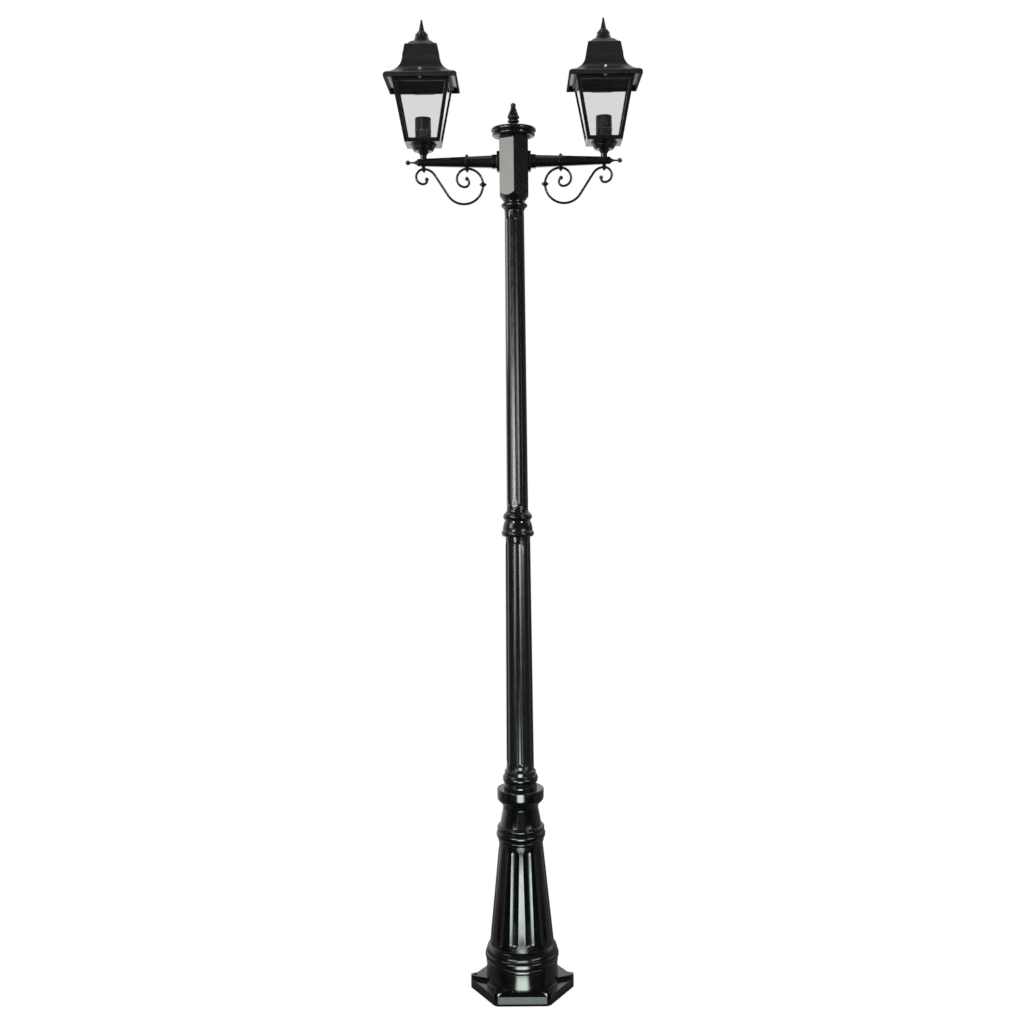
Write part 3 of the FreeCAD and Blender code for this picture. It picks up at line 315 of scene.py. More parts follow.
def powder_coat_group(name):
    """Ripple height, tone and sheen of a baked powder coat, from noise of four sizes."""
    grit_fineness, grit_share = 5.0, 0.18
    tree, given, result = new_group(name, [("Vector", VECTOR), ("Peel Scale", FLOAT)],
                                    [("Height", FLOAT), ("Tone", FLOAT), ("Sheen", FLOAT)])
    vector, peel_scale = given.outputs["Vector"], given.outputs["Peel Scale"]
    ripple = noise(tree, vector, peel_scale, detail=1.0, roughness=0.35)
    grit = noise(tree, vector, times(tree, peel_scale, grit_fineness), detail=2.0, roughness=0.6)
    cloud = noise(tree, vector, scale=9.0, detail=4.0, roughness=0.55)
    smear = noise(tree, vector, scale=38.0, detail=5.0, roughness=0.65)
    fill(tree, result, Height=math_node(tree, "MULTIPLY_ADD", grit, grit_share, ripple),
         Tone=remap(tree, cloud, 0.3, 0.7, 0.0, 1.0), Sheen=remap(tree, smear, 0.35, 0.75, 0.0, 1.0))
    return tree


def dust_group(name):
    """Mask of dust that settles on faces turned upwards, broken up by noise."""
    tree, given, result = new_group(name, [("Vector", VECTOR), ("Amount", FLOAT)], [("Mask", FLOAT)])
    lying = remap(tree, upward(tree), 0.55, 1.0, 0.0, 1.0)
    cloud = noise(tree, given.outputs["Vector"], scale=60.0, detail=6.0, roughness=0.7)
    patches = remap(tree, cloud, 0.35, 0.75, 0.15, 1.0)
    fill(tree, result, Mask=times(tree, times(tree, lying, patches), given.outputs["Amount"]))
    return tree


# Materials


def paint_material(name, colour, roughness, underside, dust_amount, ripple_height, drip_level=None):
    """Powder coat: dark tone with soft clouds, rippled skin, rounded edges and a little dust on top faces.
    Faces turned down, which the weather doesn't reach, keep a roughness of their own, but are matt below
    the drip level."""
    dark, pale, dust_colour = 0.8, 1.25, (0.20, 0.19, 0.175, 1.0)
    matt, drip_blur = 0.85, 0.001
    down_full, down_end = -0.85, -0.6
    least_sheen, most_sheen, dust_matting = 0.85, 1.25, 0.5
    paint = bpy.context.scene.lamp_post_paint
    material, tree, shader = new_material(name)
    where = object_place(tree)
    coat = place(tree, shared_group("powder coat", powder_coat_group),
                 Vector=where, Peel_Scale=1.0 / paint.peel_size)
    dust = place(tree, shared_group("settled dust", dust_group), Vector=where, Amount=dust_amount)
    tone = mixed(tree, coat.outputs["Tone"], rgba(colour, dark), rgba(colour, pale))
    if drip_level is not None:
        level = axes_of(tree, where)["Z"]
        underside = remap(tree, level, drip_level - drip_blur, drip_level + drip_blur, matt, underside)
    mean = remap(tree, upward(tree), down_full, down_end, underside, roughness)
    uneven = remap(tree, coat.outputs["Sheen"], 0.0, 1.0, least_sheen, most_sheen)
    dusty = times(tree, dust.outputs["Mask"], dust_matting)
    edge = put(tree, "ShaderNodeBevel", Radius=paint.edge_radius)
    edge.samples = 8
    skin = put(tree, "ShaderNodeBump", Strength=0.35, Distance=ripple_height,
               Height=coat.outputs["Height"], Normal=edge.outputs["Normal"])
    fill(tree, shader, Base_Color=mixed(tree, dust.outputs["Mask"], tone, dust_colour), IOR=1.52,
         Roughness=math_node(tree, "ADD", times(tree, mean, uneven), dusty), Normal=skin.outputs["Normal"])
    return material


def gloss_paint():
    """Paint of the post, arms and lantern frames."""
    name, paint = "gloss black paint", bpy.context.scene.lamp_post_paint
    return bpy.data.materials.get(name) or paint_material(
        name, paint.gloss_colour, paint.gloss_roughness, paint.gloss_roughness,
        paint.gloss_dust, paint.gloss_ripple)


def satin_paint():
    """Paint of the lantern roofs, matt under the lip that hangs below the top of the lantern frame."""
    name, paint = "satin black paint", bpy.context.scene.lamp_post_paint
    frame_top = top_of("lantern_frame_left")
    return bpy.data.materials.get(name) or paint_material(
        name, paint.satin_colour, paint.satin_roughness, paint.gloss_roughness,
        paint.satin_dust, paint.satin_ripple, frame_top)


def glass_material():
    """Clear float glass with a breath of dust along its lower edge."""
    glass = bpy.context.scene.lamp_post_glass
    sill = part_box("pane_front_left")[0][2]
    film_full, film_end = sill + 0.010, sill + 0.045
    film_colour = (0.86, 0.86, 0.85, 1.0)
    material, tree, shader = new_material("lantern glass")
    where = object_place(tree)
    near_sill = remap(tree, axes_of(tree, where)["Z"], film_full, film_end, 1.0, 0.0)
    cloud = noise(tree, where, scale=150.0, detail=5.0, roughness=0.7)
    film = times(tree, near_sill, remap(tree, cloud, 0.45, 0.75, 0.0, 1.0))
    fill(tree, shader, Base_Color=mixed(tree, film, rgba(glass.tint), film_colour),
         Roughness=times(tree, film, glass.film), Transmission_Weight=1.0, IOR=1.5)
    return material


def metal_material(name, colour, roughness, grain_scale, stretch):
    """Bare metal with fine drawn grain along the upright axis and faint stains."""
    dark, pale = 0.82, 1.1
    smooth, coarse = 0.75 * roughness, 1.3 * roughness
    material, tree, shader = new_material(name)
    where = object_place(tree)
    drawn = put(tree, "ShaderNodeMapping", Vector=where, Scale=(1.0, 1.0, stretch)).outputs["Vector"]
    grain = noise(tree, drawn, grain_scale, detail=3.0, roughness=0.6)
    stain = noise(tree, where, scale=55.0, detail=4.0, roughness=0.6)
    bump = put(tree, "ShaderNodeBump", Strength=0.15, Distance=0.00006, Height=grain)
    fill(tree, shader, Base_Color=mixed(tree, stain, rgba(colour, dark), rgba(colour, pale)), Metallic=1.0,
         Roughness=remap(tree, grain, 0.25, 0.75, smooth, coarse), Normal=bump.outputs["Normal"])
    return material


def brass_material(name):
    """Plain brass with a drawn grain."""
    return metal_material(name, (0.66, 0.50, 0.24), roughness=0.30, grain_scale=300.0, stretch=6.0)


def zinc_material():
    """Galvanised steel with its spangle of pale crystals."""
    dark, pale = (0.42, 0.43, 0.44, 1.0), (0.60, 0.61, 0.62, 1.0)
    smooth, coarse = 0.32, 0.55
    material, tree, shader = new_material("galvanised steel")
    crystal = put(tree, "ShaderNodeTexVoronoi", Vector=object_place(tree), Scale=160.0)
    shade = put(tree, "ShaderNodeSeparateColor", Color=crystal.outputs["Color"]).outputs["Red"]
    fill(tree, shader, Base_Color=mixed(tree, shade, dark, pale), Metallic=1.0,
         Roughness=remap(tree, shade, 0.0, 1.0, smooth, coarse))
    return material


def moulded_material(name, colour, roughness, grain_scale, specular=0.5):
    """Moulded plastic or rubber: fine grained skin with cloudy tone."""
    dark, pale = 0.8, 1.2
    smooth, coarse = 0.85 * roughness, 1.15 * roughness
    material, tree, shader = new_material(name)
    where = object_place(tree)
    cloud = noise(tree, where, scale=70.0, detail=4.0, roughness=0.6)
    grain = noise(tree, where, grain_scale, detail=2.0, roughness=0.5)
    bump = put(tree, "ShaderNodeBump", Strength=0.2, Distance=0.0001, Height=grain)
    fill(tree, shader, Base_Color=mixed(tree, cloud, rgba(colour, dark), rgba(colour, pale)),
         Roughness=remap(tree, grain, 0.3, 0.7, smooth, coarse), Normal=bump.outputs["Normal"],
         Specular_IOR_Level=specular)
    return material


def dress(material, names):
    """Gives CAD nodes a material."""
    for name in names:
        node = NODES[name]
        node.data.materials.clear()
        node.data.materials.append(material)


def paired(*names):
    """Names of the nodes on both sides."""
    return [f"{name}_{side}" for name in names for side in SIDES]


# Surfaces


def closed_tube(name, rows, material, body, sharp_deg=35.0):
    """Mesh of a grid of points whose rows are rings: each ring closes on itself, and a ring of one repeated
    point closes the end as a pole. Quads join each ring to the next."""
    levels, around = rows.shape[:2]
    index = np.arange(levels * around).reshape(levels, around)
    right = np.roll(index, -1, axis=1)
    quads = np.stack([index[:-1], right[:-1], right[1:], index[1:]], axis=-1).reshape(-1, 4)
    mesh = bpy.data.meshes.new(name)
    mesh.from_pydata(rows.reshape(-1, 3).tolist(), [], quads.tolist())
    work = bmesh.new()
    work.from_mesh(mesh)
    bmesh.ops.remove_doubles(work, verts=work.verts, dist=1e-7)
    bmesh.ops.recalc_face_normals(work, faces=work.faces)
    work.to_mesh(mesh)
    work.free()
    mesh.shade_smooth()
    mesh.set_sharp_from_angle(angle=math.radians(sharp_deg))
    mesh.materials.append(material)
    piece = bpy.data.objects.new(name, mesh)
    bpy.context.scene.collection.objects.link(piece)
    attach(piece, body)
    return piece


def even_angles(around):
    """Angles that divide a full turn evenly."""
    return np.linspace(0.0, 2.0 * np.pi, around, endpoint=False)


def turned_rows(centre, radius, height, around):
    """Rings about the upright axis through centre: point = centre + (r cos u, r sin u, h), where r may
    change with u."""
    angle = even_angles(around)
    radius = np.broadcast_to(np.asarray(radius, float).reshape(len(height), -1), (len(height), around))
    rows = np.empty((len(height), around, 3))
    rows[..., 0] = centre[0] + radius * np.cos(angle)
    rows[..., 1] = centre[1] + radius * np.sin(angle)
    rows[..., 2] = np.asarray(height, float)[:, None]
    return rows


def turned(name, centre, outline, material, body, around):
    """Lathe form: an outline of radius and height carried round the upright axis through centre."""
    rows = turned_rows(centre, outline[:, :1], outline[:, 1], around)
    return closed_tube(name, rows, material, body)


def rounded(corners, radius, steps=5, share=0.45):
    """Outline of radius and height, each inner corner replaced by a parabola that leaves its two lines at
    the given distance from it, or at a share of a line that is too short for that."""
    corners = np.asarray(corners, float)
    before = corners[:-2] - corners[1:-1]
    after = corners[2:] - corners[1:-1]
    cut_before = np.minimum(radius, share * np.linalg.norm(before, axis=1))[:, None]
    cut_after = np.minimum(radius, share * np.linalg.norm(after, axis=1))[:, None]
    first = corners[1:-1] + before / np.linalg.norm(before, axis=1)[:, None] * cut_before
    last = corners[1:-1] + after / np.linalg.norm(after, axis=1)[:, None] * cut_after
    t = np.linspace(0.0, 1.0, steps)[None, :, None]
    bend = (1 - t) ** 2 * first[:, None] + 2 * t * (1 - t) * corners[1:-1][:, None] + t ** 2 * last[:, None]
    return np.concatenate([corners[:1], bend.reshape(-1, 2), corners[-1:]])


def box_axis(node):
    """Centre line of a node in plan, its lowest and highest level, and half its width."""
    low, high = (np.array(corner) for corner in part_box(node))
    middle = (low + high) / 2
    return (middle[0], middle[1]), low[2], high[2], (high[0] - low[0]) / 2


def top_of(node):
    """Highest level of a node."""
    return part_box(node)[1][2]


# Pieces


def plinth_skirt(material):
    """Lathe form: hollow quarter round on the flange, then a cone that narrows to the rings."""
    flange_top, plinth_top = 0.0280, 0.0790
    inside, foot_r, top_r, fillet = 0.1020, 0.1092, 0.1056, 0.0038
    brim_in, brim_down = 0.0012, 0.0006
    arc = np.linspace(-np.pi / 2, -np.pi, 8)
    cove = np.stack([foot_r + fillet + fillet * np.cos(arc),
                     flange_top + fillet + fillet * np.sin(arc)], axis=1)
    brim = rounded([cove[-1], (top_r, plinth_top - brim_down), (top_r - brim_in, plinth_top),
                    (inside, plinth_top)], radius=0.0005)
    outline = np.concatenate([[(inside, flange_top)], cove, brim[1:], [(inside, flange_top)]])
    centre = box_axis("base_pedestal")[0]
    piece = turned("plinth_skirt", centre, outline, material, BODY, around=160)


def bud_foot(low, seat, unit):
    """Tang in the cap and a coned foot on it."""
    foot_r, foot_h, taper = 0.176 * unit, 0.07 * unit, 0.86
    return np.array([(0.0, low), (TANG_R, low), (TANG_R, seat), (foot_r, seat),
                     (taper * foot_r, seat + foot_h)])


def bud_ring(seat, unit, turn):
    """Ring bowed by a parabola, whose radius gains a cosine of the angle at its middle."""
    ring_r, bow = 0.245 * unit, 0.060 * unit
    middle, half, lobe = 0.218, 0.075, 0.05
    swell = np.linspace(-1.0, 1.0, 15)
    outline = np.stack([ring_r - bow * swell ** 2, seat + (middle + half * swell) * unit], axis=1)
    return outline, 1.0 + lobe * np.cos(turn)[None, :] * (1.0 - swell[:, None] ** 2)


def bud_body(seat, unit, belly, turn):
    """Bud that swells by a sine and narrows by a power of the height. Its radius gains the root of the
    product of two cosines whose phases wind opposite ways with the height, which gives rows of
    lozenges."""
    start, length, widest = 0.293, 0.525, 0.19
    foot_share, narrowing, power = 0.70, 0.635, 0.92
    windings, depth, mean = 1.1, 0.15, 0.80
    fade_in, fade_out = 0.10, 0.12
    rise = np.linspace(0.0, 1.0, 90)
    past = np.maximum(rise - widest, 0.0) / (1 - widest)
    shape = np.where(rise < widest, foot_share + (1 - foot_share) * np.sin(np.pi / 2 * rise / widest),
                     1.0 - narrowing * past ** power)
    outline = np.stack([belly * shape, seat + (start + length * rise) * unit], axis=1)
    wind = 2.0 * np.pi * windings * rise[:, None]
    scales = np.abs(np.cos((turn + wind) * 0.5)) * np.abs(np.cos((turn - wind) * 0.5))
    fade = np.clip(np.minimum(rise / fade_in, (1.0 - rise) / fade_out), 0.0, 1.0)[:, None]
    return outline, 1.0 + depth * fade * (np.sqrt(scales) - mean)


def bud_ball(high, unit):
    """Ball on top, open where it sits on the bud."""
    ball_r, lower_edge = 0.117 * unit, -0.98
    arc = np.linspace(lower_edge, np.pi / 2, 24)
    outline = np.stack([ball_r * np.cos(arc), high - ball_r + ball_r * np.sin(arc)], axis=1)
    outline[-1, 0] = 0.0
    return outline


def carved_bud(material, scales):
    """Lathe outline of foot, ring, bud and ball, with lobes on the ring and scales on the bud. Heights
    and most radii are shares of the height above the cap."""
    centre, low, high, belly = box_axis("cap_finial")
    seat = top_of("head_cap")
    unit = high - seat
    angle = even_angles(24 * scales)
    foot = bud_foot(low, seat, unit)
    ring, lobes = bud_ring(seat, unit, 2 * scales * angle)
    bud, relief = bud_body(seat, unit, belly, scales * angle)
    ball = bud_ball(high, unit)
    plain = np.ones_like(angle)
    radius = np.concatenate([foot[:, :1] * plain, ring[:, :1] * lobes, bud[:, :1] * relief,
                             ball[:, :1] * plain])
    height = np.concatenate([foot, ring, bud, ball])[:, 1]
    rows = turned_rows(centre, radius, height, len(angle))
    piece = closed_tube("carved_bud", rows, material, BODY, sharp_deg=50.0)
    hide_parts("cap_finial")


def turned_cup(side, material):
    """Lathe form: coned neck round the top of the stem, flat foot, bowl whose radius grows with a power
    of the height, groove at the waist and a rim under the frame."""
    deeper, neck_length = 0.0065, 0.0110
    bore, neck_r, collar_r, bowl_power = 0.0068, 0.0096, 0.0160, 0.8
    collar_in, collar_h = 0.0010, 0.0030
    foot_share, waist_share, lip_share, waist_rise = 0.68, 0.85, 0.975, 0.56
    groove_in, groove_h, ledge_out, ledge_h, rim_h = 0.0009, 0.0006, 0.0010, 0.0018, 0.0012
    node = f"lantern_cup_{side}"
    centre, low, high, rim = box_axis(node)
    low -= deeper
    end = low - neck_length
    foot, waist, lip = foot_share * rim, waist_share * rim, lip_share * rim
    waist_z = low + waist_rise * (high - low)
    neck = rounded([(bore, end), (neck_r, end), (collar_r - collar_in, low - collar_h), (collar_r, low),
                    (foot, low)], radius=0.0006)
    rise = np.linspace(0.0, 1.0, 14)
    bowl = np.stack([foot + (waist - foot) * rise ** bowl_power, low + (waist_z - low) * rise], axis=1)
    edge = rounded([(waist, waist_z), (waist - groove_in, waist_z + groove_h),
                    (waist + ledge_out, waist_z + ledge_h), (lip, high - rim_h), (rim, high),
                    (bore, high)], radius=0.0004)
    outline = np.concatenate([neck[:-1], bowl, edge[1:], [(bore, end)]])
    piece = turned(f"turned_cup_{side}", centre, outline, material, BODY, around=120)
    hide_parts(node)


def turned_spike(side, material):
    """Lathe form: tang, half-round ring, short cove and a slender cone with a round point."""
    cone_r, tip_r, ring_h = 0.0088, 0.0024, 0.0068
    cone_lift, top_gap, cone_power = 0.0098, 0.0025, 0.86
    bead_share, cove_share = 0.18, 0.66
    cove_gap, cove_out, cove_down = 0.0004, 0.0006, 0.0008
    node = f"roof_finial_{side}"
    centre, low, high, ring_r = box_axis(node)
    seat = top_of(f"roof_{side}")
    cone_foot, tip_z = seat + cone_lift, high - top_gap - tip_r
    bead = bead_share * ring_r
    arc = np.linspace(-np.pi / 2, np.pi / 2, 13)
    ring = np.stack([ring_r - bead + bead * np.cos(arc), seat + ring_h / 2 * (1 + np.sin(arc))], axis=1)
    cove = [(cove_share * ring_r, seat + ring_h + cove_gap), (cone_r + cove_out, cone_foot - cove_down)]
    rise = np.linspace(0.0, 1.0, 24)
    cone = np.stack([cone_r + (tip_r - cone_r) * rise ** cone_power,
                     cone_foot + (tip_z - cone_foot) * rise], axis=1)
    cap = np.linspace(0.1, np.pi / 2, 8)
    point = np.stack([tip_r * np.cos(cap), tip_z + tip_r * np.sin(cap)], axis=1)
    point[-1, 0] = 0.0
    tang = [(0.0, low), (TANG_R, low), (TANG_R, seat)]
    outline = np.concatenate([tang, ring, cove, cone, point])
    piece = turned(f"turned_spike_{side}", centre, outline, material, f"{side}_roof", around=72)
    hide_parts(node)


def lampholder_body(side, material):
    """Lathe form: rounded foot, waist groove under the ring, skirt and the wall of the well."""
    well_r, groove, play = 0.0136, 0.0014, 0.0002
    node = f"lampholder_{side}"
    centre, low, high, r = box_axis(node)
    _, ring_low, ring_high, _ = box_axis(f"lampholder_ring_{side}")
    floor = high - WELL_DEPTH
    outline = rounded([(0.0, low), (r, low), (r, ring_low), (r - groove, ring_low + play),
                       (r - groove, ring_high - play), (r, ring_high), (r, high), (well_r, high),
                       (well_r, floor), (0.0, floor)], radius=0.0012)
    piece = turned(f"lampholder_body_{side}", centre, outline, material, BODY, around=96)
    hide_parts(node)


def lampholder_ring(side, material, fittings):
    """Ring whose rim is a cosine of the angle, so that it has grip ribs; inside it is plain."""
    wall, rib_depth = 0.0024, 0.00036
    node = f"lampholder_ring_{side}"
    centre, low, high, r = box_axis(node)
    inner = r - wall
    angle = even_angles(8 * fittings.ring_ribs)
    rib = rib_depth / 2 * (np.cos(fittings.ring_ribs * angle) - 1.0)
    outline = rounded([(inner, low), (r, low), (r, high), (inner, high)], radius=0.0007)
    share = np.clip((outline[:, :1] - inner) / wall, 0.0, 1.0)
    rows = turned_rows(centre, outline[:, :1] + share * rib, outline[:, 1], len(angle))
    piece = closed_tube(f"lampholder_grip_{side}", np.concatenate([rows, rows[:1]]), material, BODY)
    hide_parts(node)


def lampholder_shell(side, material, fittings):
    """Screw shell: radius = mean + half the depth times the cosine of (turns of the height - angle)."""
    mean_r, wall = 0.0126, 0.0005
    top_gap, foot_gap = 0.0016, 0.0250
    centre, _, high, _ = box_axis(f"lampholder_{side}")
    top, foot = high - top_gap, high - foot_gap
    angle = even_angles(72)
    height = np.linspace(foot, top, 90)
    phase = 2.0 * np.pi * (height[:, None] - foot) / fittings.thread_pitch - angle
    wave = mean_r + fittings.thread_depth / 2 * np.cos(phase)
    radius = np.concatenate([wave, (wave + wall)[::-1], wave[:1]])
    level = np.concatenate([height, height[::-1], height[:1]])
    rows = turned_rows(centre, radius, level, len(angle))
    piece = closed_tube(f"lampholder_shell_{side}", rows, material, BODY)


def lampholder_contact(side, material):
    """Lathe form of a low rounded button on the floor of the well."""
    button_r, wall_h, crown_h = 0.0045, 0.0016, 0.0030
    centre, _, high, _ = box_axis(f"lampholder_{side}")
    floor = high - WELL_DEPTH
    button = rounded([(0.0, floor), (button_r, floor), (button_r, floor + wall_h),
                      (0.0, floor + crown_h)], radius=0.0008)
    piece = turned(f"lampholder_contact_{side}", centre, button, material, BODY, around=40)


def dome_nut(side, material, flats):
    """Hexagon below, whose radius is the lesser of the hexagon's and the chamfer cones', and above it a
    dome that is a quarter of an ellipse."""
    hexagon_share, dome_share, chamfer_slope = 0.42, 0.93, 0.9
    neck_h, first_step = 0.0006, 0.0001
    node = f"roof_nut_{side}"
    centre, low, high, corner_r = box_axis(node)
    angle = even_angles(96)
    sector = np.mod(angle, np.pi / 3) - np.pi / 6
    hexagon = flats / 2 / np.cos(sector)
    hexagon_top = low + hexagon_share * (high - low)
    neck = hexagon_top + neck_h
    dome_r = flats / 2 * dome_share
    levels = np.concatenate([[low, low], np.linspace(low + first_step, hexagon_top, 12)])
    chamfer = corner_r + chamfer_slope * np.minimum(levels - low, hexagon_top - levels)
    chamfer[0] = 0.0
    body = np.minimum(hexagon[None, :], chamfer[:, None])
    swell = np.linspace(0.0, np.pi / 2, 20)
    dome = np.concatenate([[dome_r], dome_r * np.cos(swell)])
    dome_levels = np.concatenate([[hexagon_top], neck + (high - neck) * np.sin(swell)])
    radius = np.concatenate([body, np.repeat(dome[:, None], len(angle), axis=1)])
    rows = turned_rows(centre, radius, np.concatenate([levels, dome_levels]), len(angle))
    piece = closed_tube(f"dome_nut_{side}", rows, material, f"{side}_roof", sharp_deg=28.0)
    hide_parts(node)


# Stage


def studio_world(scene, stage):
    """White to the camera and through glass, the mirror room to gloss paint, plain light to the rest."""
    world = bpy.data.worlds.new("studio")
    scene.world = world
    world.use_nodes = True
    tree = world.node_tree
    tree.nodes.clear()
    path = tree.nodes.new("ShaderNodeLightPath").outputs
    plain = put(tree, "ShaderNodeBackground", Color=WHITE, Strength=stage.ambient)
    white = put(tree, "ShaderNodeBackground", Color=WHITE, Strength=1.0)
    bounced = math_node(tree, "GREATER_THAN", path["Glossy Depth"], 0.5)
    mirrored = math_node(tree, "MAXIMUM", path["Is Glossy Ray"], bounced)
    lit = mixed_shader(tree, mirrored, plain, mirror_room(tree, stage))
    seen = mixed_shader(tree, unbounced(tree, path), lit, white)
    show(tree, seen, "ShaderNodeOutputWorld")


def mixed_shader(tree, factor, first, second):
    """First shader where the factor is 0, second where it is 1."""
    node = tree.nodes.new("ShaderNodeMixShader")
    connect(tree, factor, node.inputs[0])
    tree.links.new(first.outputs[0], node.inputs[1])
    tree.links.new(second.outputs[0], node.inputs[2])
    return node


def mirror_room(tree, stage):
    """What gloss paint mirrors: white behind the post, apart from a low dark screen on the right, and
    dark in front of it, where two far panels stand. Panels and screen are bounded by angles, in
    degrees, to the side and above the horizon."""
    dark_room, panel_colour = (0.086, 0.096, 0.093, 1.0), (0.94, 0.96, 1.0, 1.0)
    screen_top, back_edge = (8.0, 11.0), (-0.05, 0.40)
    left_side, left_rise = (-46.0, -42.0, -21.0, -18.0), (-9.5, -5.5, 0.7, 3.2)
    right_side, right_rise, right_share = (28.0, 31.0, 57.0, 60.0), (-7.2, -3.8, 3.5, 6.0), 0.6
    toward = tree.nodes.new("ShaderNodeTexCoord").outputs["Generated"]
    axes = axes_of(tree, toward)
    front = times(tree, axes["Y"], -1.0)
    side = math_node(tree, "DEGREES", math_node(tree, "ARCTAN2", axes["X"], front))
    rise = math_node(tree, "DEGREES", math_node(tree, "ARCSINE", axes["Z"]))
    above_screen = remap(tree, rise, *screen_top, 0.0, 1.0)
    open_back = math_node(tree, "MAXIMUM", past_screen(tree, axes), above_screen)
    behind = times(tree, remap(tree, axes["Y"], *back_edge, 0.0, 1.0), open_back)
    room = mixed(tree, behind, dark_room, WHITE)
    left = times(tree, band(tree, side, *left_side), band(tree, rise, *left_rise))
    right = times(tree, band(tree, side, *right_side), band(tree, rise, *right_rise))
    panels = math_node(tree, "ADD", left, times(tree, right, right_share))
    gain = times(tree, panels, stage.panel_radiance - 1.0)
    return put(tree, "ShaderNodeBackground", Color=mixed(tree, panels, room, panel_colour),
               Strength=math_node(tree, "ADD", gain, 1.0))


def past_screen(tree, axes):
    """1 behind the post, falling to a low level on its right, where a dark screen stands. The screen's
    edge is given by the share of x in y."""
    edge, full, level = 0.09, 0.15, 0.12
    aside = math_node(tree, "DIVIDE", axes["X"], math_node(tree, "MAXIMUM", axes["Y"], 0.001))
    return remap(tree, aside, edge, full, 1.0, level)


def level_card(name, x, y, z, material):
    """Level rectangle from corner values."""
    corners = [(x[0], y[0], z), (x[1], y[0], z), (x[1], y[1], z), (x[0], y[1], z)]
    return card(name, corners, material)


def card(name, corners, material):
    """Flat piece of the stage with four corners."""
    mesh = bpy.data.meshes.new(name)
    mesh.from_pydata(corners, [], [(0, 1, 2, 3)])
    mesh.materials.append(material)
    piece = bpy.data.objects.new(name, mesh)
    bpy.context.scene.collection.objects.link(piece)
    return piece


def pale_floor():
    """Pale floor that keeps the shadow: most of its white shows to the camera by itself, the rest is
    lit. Mirror paint sees that white behind the post only; in front the floor ends early, below the
    far panels' sight line."""
    half_width, front, back, level = 30.0, -2.4, 30.0, -0.0005
    lit_grey, own_white = (0.30, 0.30, 0.30, 1.0), 0.90
    white_from, white_full = 0.3, 2.0
    material, tree = blank_material("white floor")
    path = tree.nodes.new("ShaderNodeLightPath").outputs
    axes = axes_of(tree, object_place(tree))
    behind = times(tree, remap(tree, axes["Y"], white_from, white_full, 0.0, 1.0),
                   past_screen(tree, axes))
    mirrored = times(tree, path["Is Glossy Ray"], behind)
    seen = math_node(tree, "MAXIMUM", unbounced(tree, path), mirrored)
    lit = put(tree, "ShaderNodeBsdfDiffuse", Color=lit_grey)
    glow = put(tree, "ShaderNodeEmission", Color=WHITE, Strength=times(tree, seen, own_white))
    both = tree.nodes.new("ShaderNodeAddShader")
    tree.links.new(lit.outputs[0], both.inputs[0])
    tree.links.new(glow.outputs[0], both.inputs[1])
    show(tree, both, "ShaderNodeOutputMaterial")
    level_card("floor", (-half_width, half_width), (front, back), level, material)


def runway(stage):
    """Lit paper in front of the post, a wedge that widens away from it, which only the gloss paint
    mirrors. Rays from high on the post come steeply, long for where they land, and see none of it;
    the shortest rays, from the flange, see an even strip. Stops give its level along y."""
    far, near, half_width, level = -3.5, -0.15, 1.2, 0.0005
    stops = ((far, 0.08), (-3.0, 0.30), (-2.6, 1.00), (-1.3, 0.70), (-1.02, 0.62), (-0.92, 0.05),
             (-0.60, 0.03), (-0.53, 0.80), (near, 0.70))
    paper_colour = (0.84, 1.0, 0.90, 1.0)
    wedge_full, wedge_end = 0.20, 0.34
    short_end, short_full, long_full, long_end = 0.40, 0.46, 1.03, 1.10
    flange_level, flange_full, flange_end = 0.19, 0.072, 0.079
    material, tree = blank_material("lit paper")
    axes = axes_of(tree, object_place(tree))
    reach = math_node(tree, "ABSOLUTE", axes["Y"])
    aside = math_node(tree, "ABSOLUTE", axes["X"])
    wedge = remap(tree, math_node(tree, "DIVIDE", aside, reach), wedge_full, wedge_end, 1.0, 0.0)
    length = tree.nodes.new("ShaderNodeLightPath").outputs["Ray Length"]
    steep = math_node(tree, "DIVIDE", length, reach)
    along = graded(tree, axes["Y"], far, near, stops)
    post = times(tree, times(tree, wedge, along),
                 band(tree, steep, short_end, short_full, long_full, long_end))
    flange = times(tree, remap(tree, steep, short_end, short_full, flange_level, 0.0),
                   remap(tree, aside, flange_full, flange_end, 1.0, 0.0))
    lit = math_node(tree, "ADD", post, flange)
    glow = put(tree, "ShaderNodeEmission", Color=paper_colour,
               Strength=times(tree, lit, stage.runway_radiance))
    show(tree, glow, "ShaderNodeOutputMaterial")
    mirrored_only(level_card("runway", (-half_width, half_width), (far, near), level, material))


def graded(tree, value, start, end, stops):
    """Level that runs straight from stop to stop as a value goes from start to end."""
    ramp = put(tree, "ShaderNodeValToRGB", Fac=remap(tree, value, start, end, 0.0, 1.0))
    marks = ramp.color_ramp.elements
    while len(marks) < len(stops):
        marks.new(0.5)
    for mark, (at, level) in zip(marks, stops):
        mark.position = (at - start) / (end - start)
        mark.color = (level, level, level, 1.0)
    return ramp.outputs["Color"]


def flags():
    """Dark cards on both sides of the pedestal's front, with a gap at its girdle."""
    turn, levels = math.radians(39.0), {"cone": (0.220, 0.445), "neck": (0.508, 0.588)}
    for side, sign in (("left", -1.0), ("right", 1.0)):
        for part, (low, high) in levels.items():
            flag(f"{side} {part} flag", sign * turn, low, high)


def flag(name, turn, low, high):
    """Upright dark card near the pedestal, which keeps the far panels out of its paint."""
    reach, half_width = 0.20, 0.075
    middle = Vector((math.sin(turn), -math.cos(turn), 0.0)) * reach
    along = Vector((math.cos(turn), math.sin(turn), 0.0)) * half_width
    left, right = middle - along, middle + along
    corners = [(*left.xy, low), (*right.xy, low), (*right.xy, high), (*left.xy, high)]
    material, tree, shader = new_material(name)
    fill(tree, shader, Base_Color=(0.0, 0.0, 0.0, 1.0), Specular_IOR_Level=0.0)
    mirrored_only(card(name, corners, material))


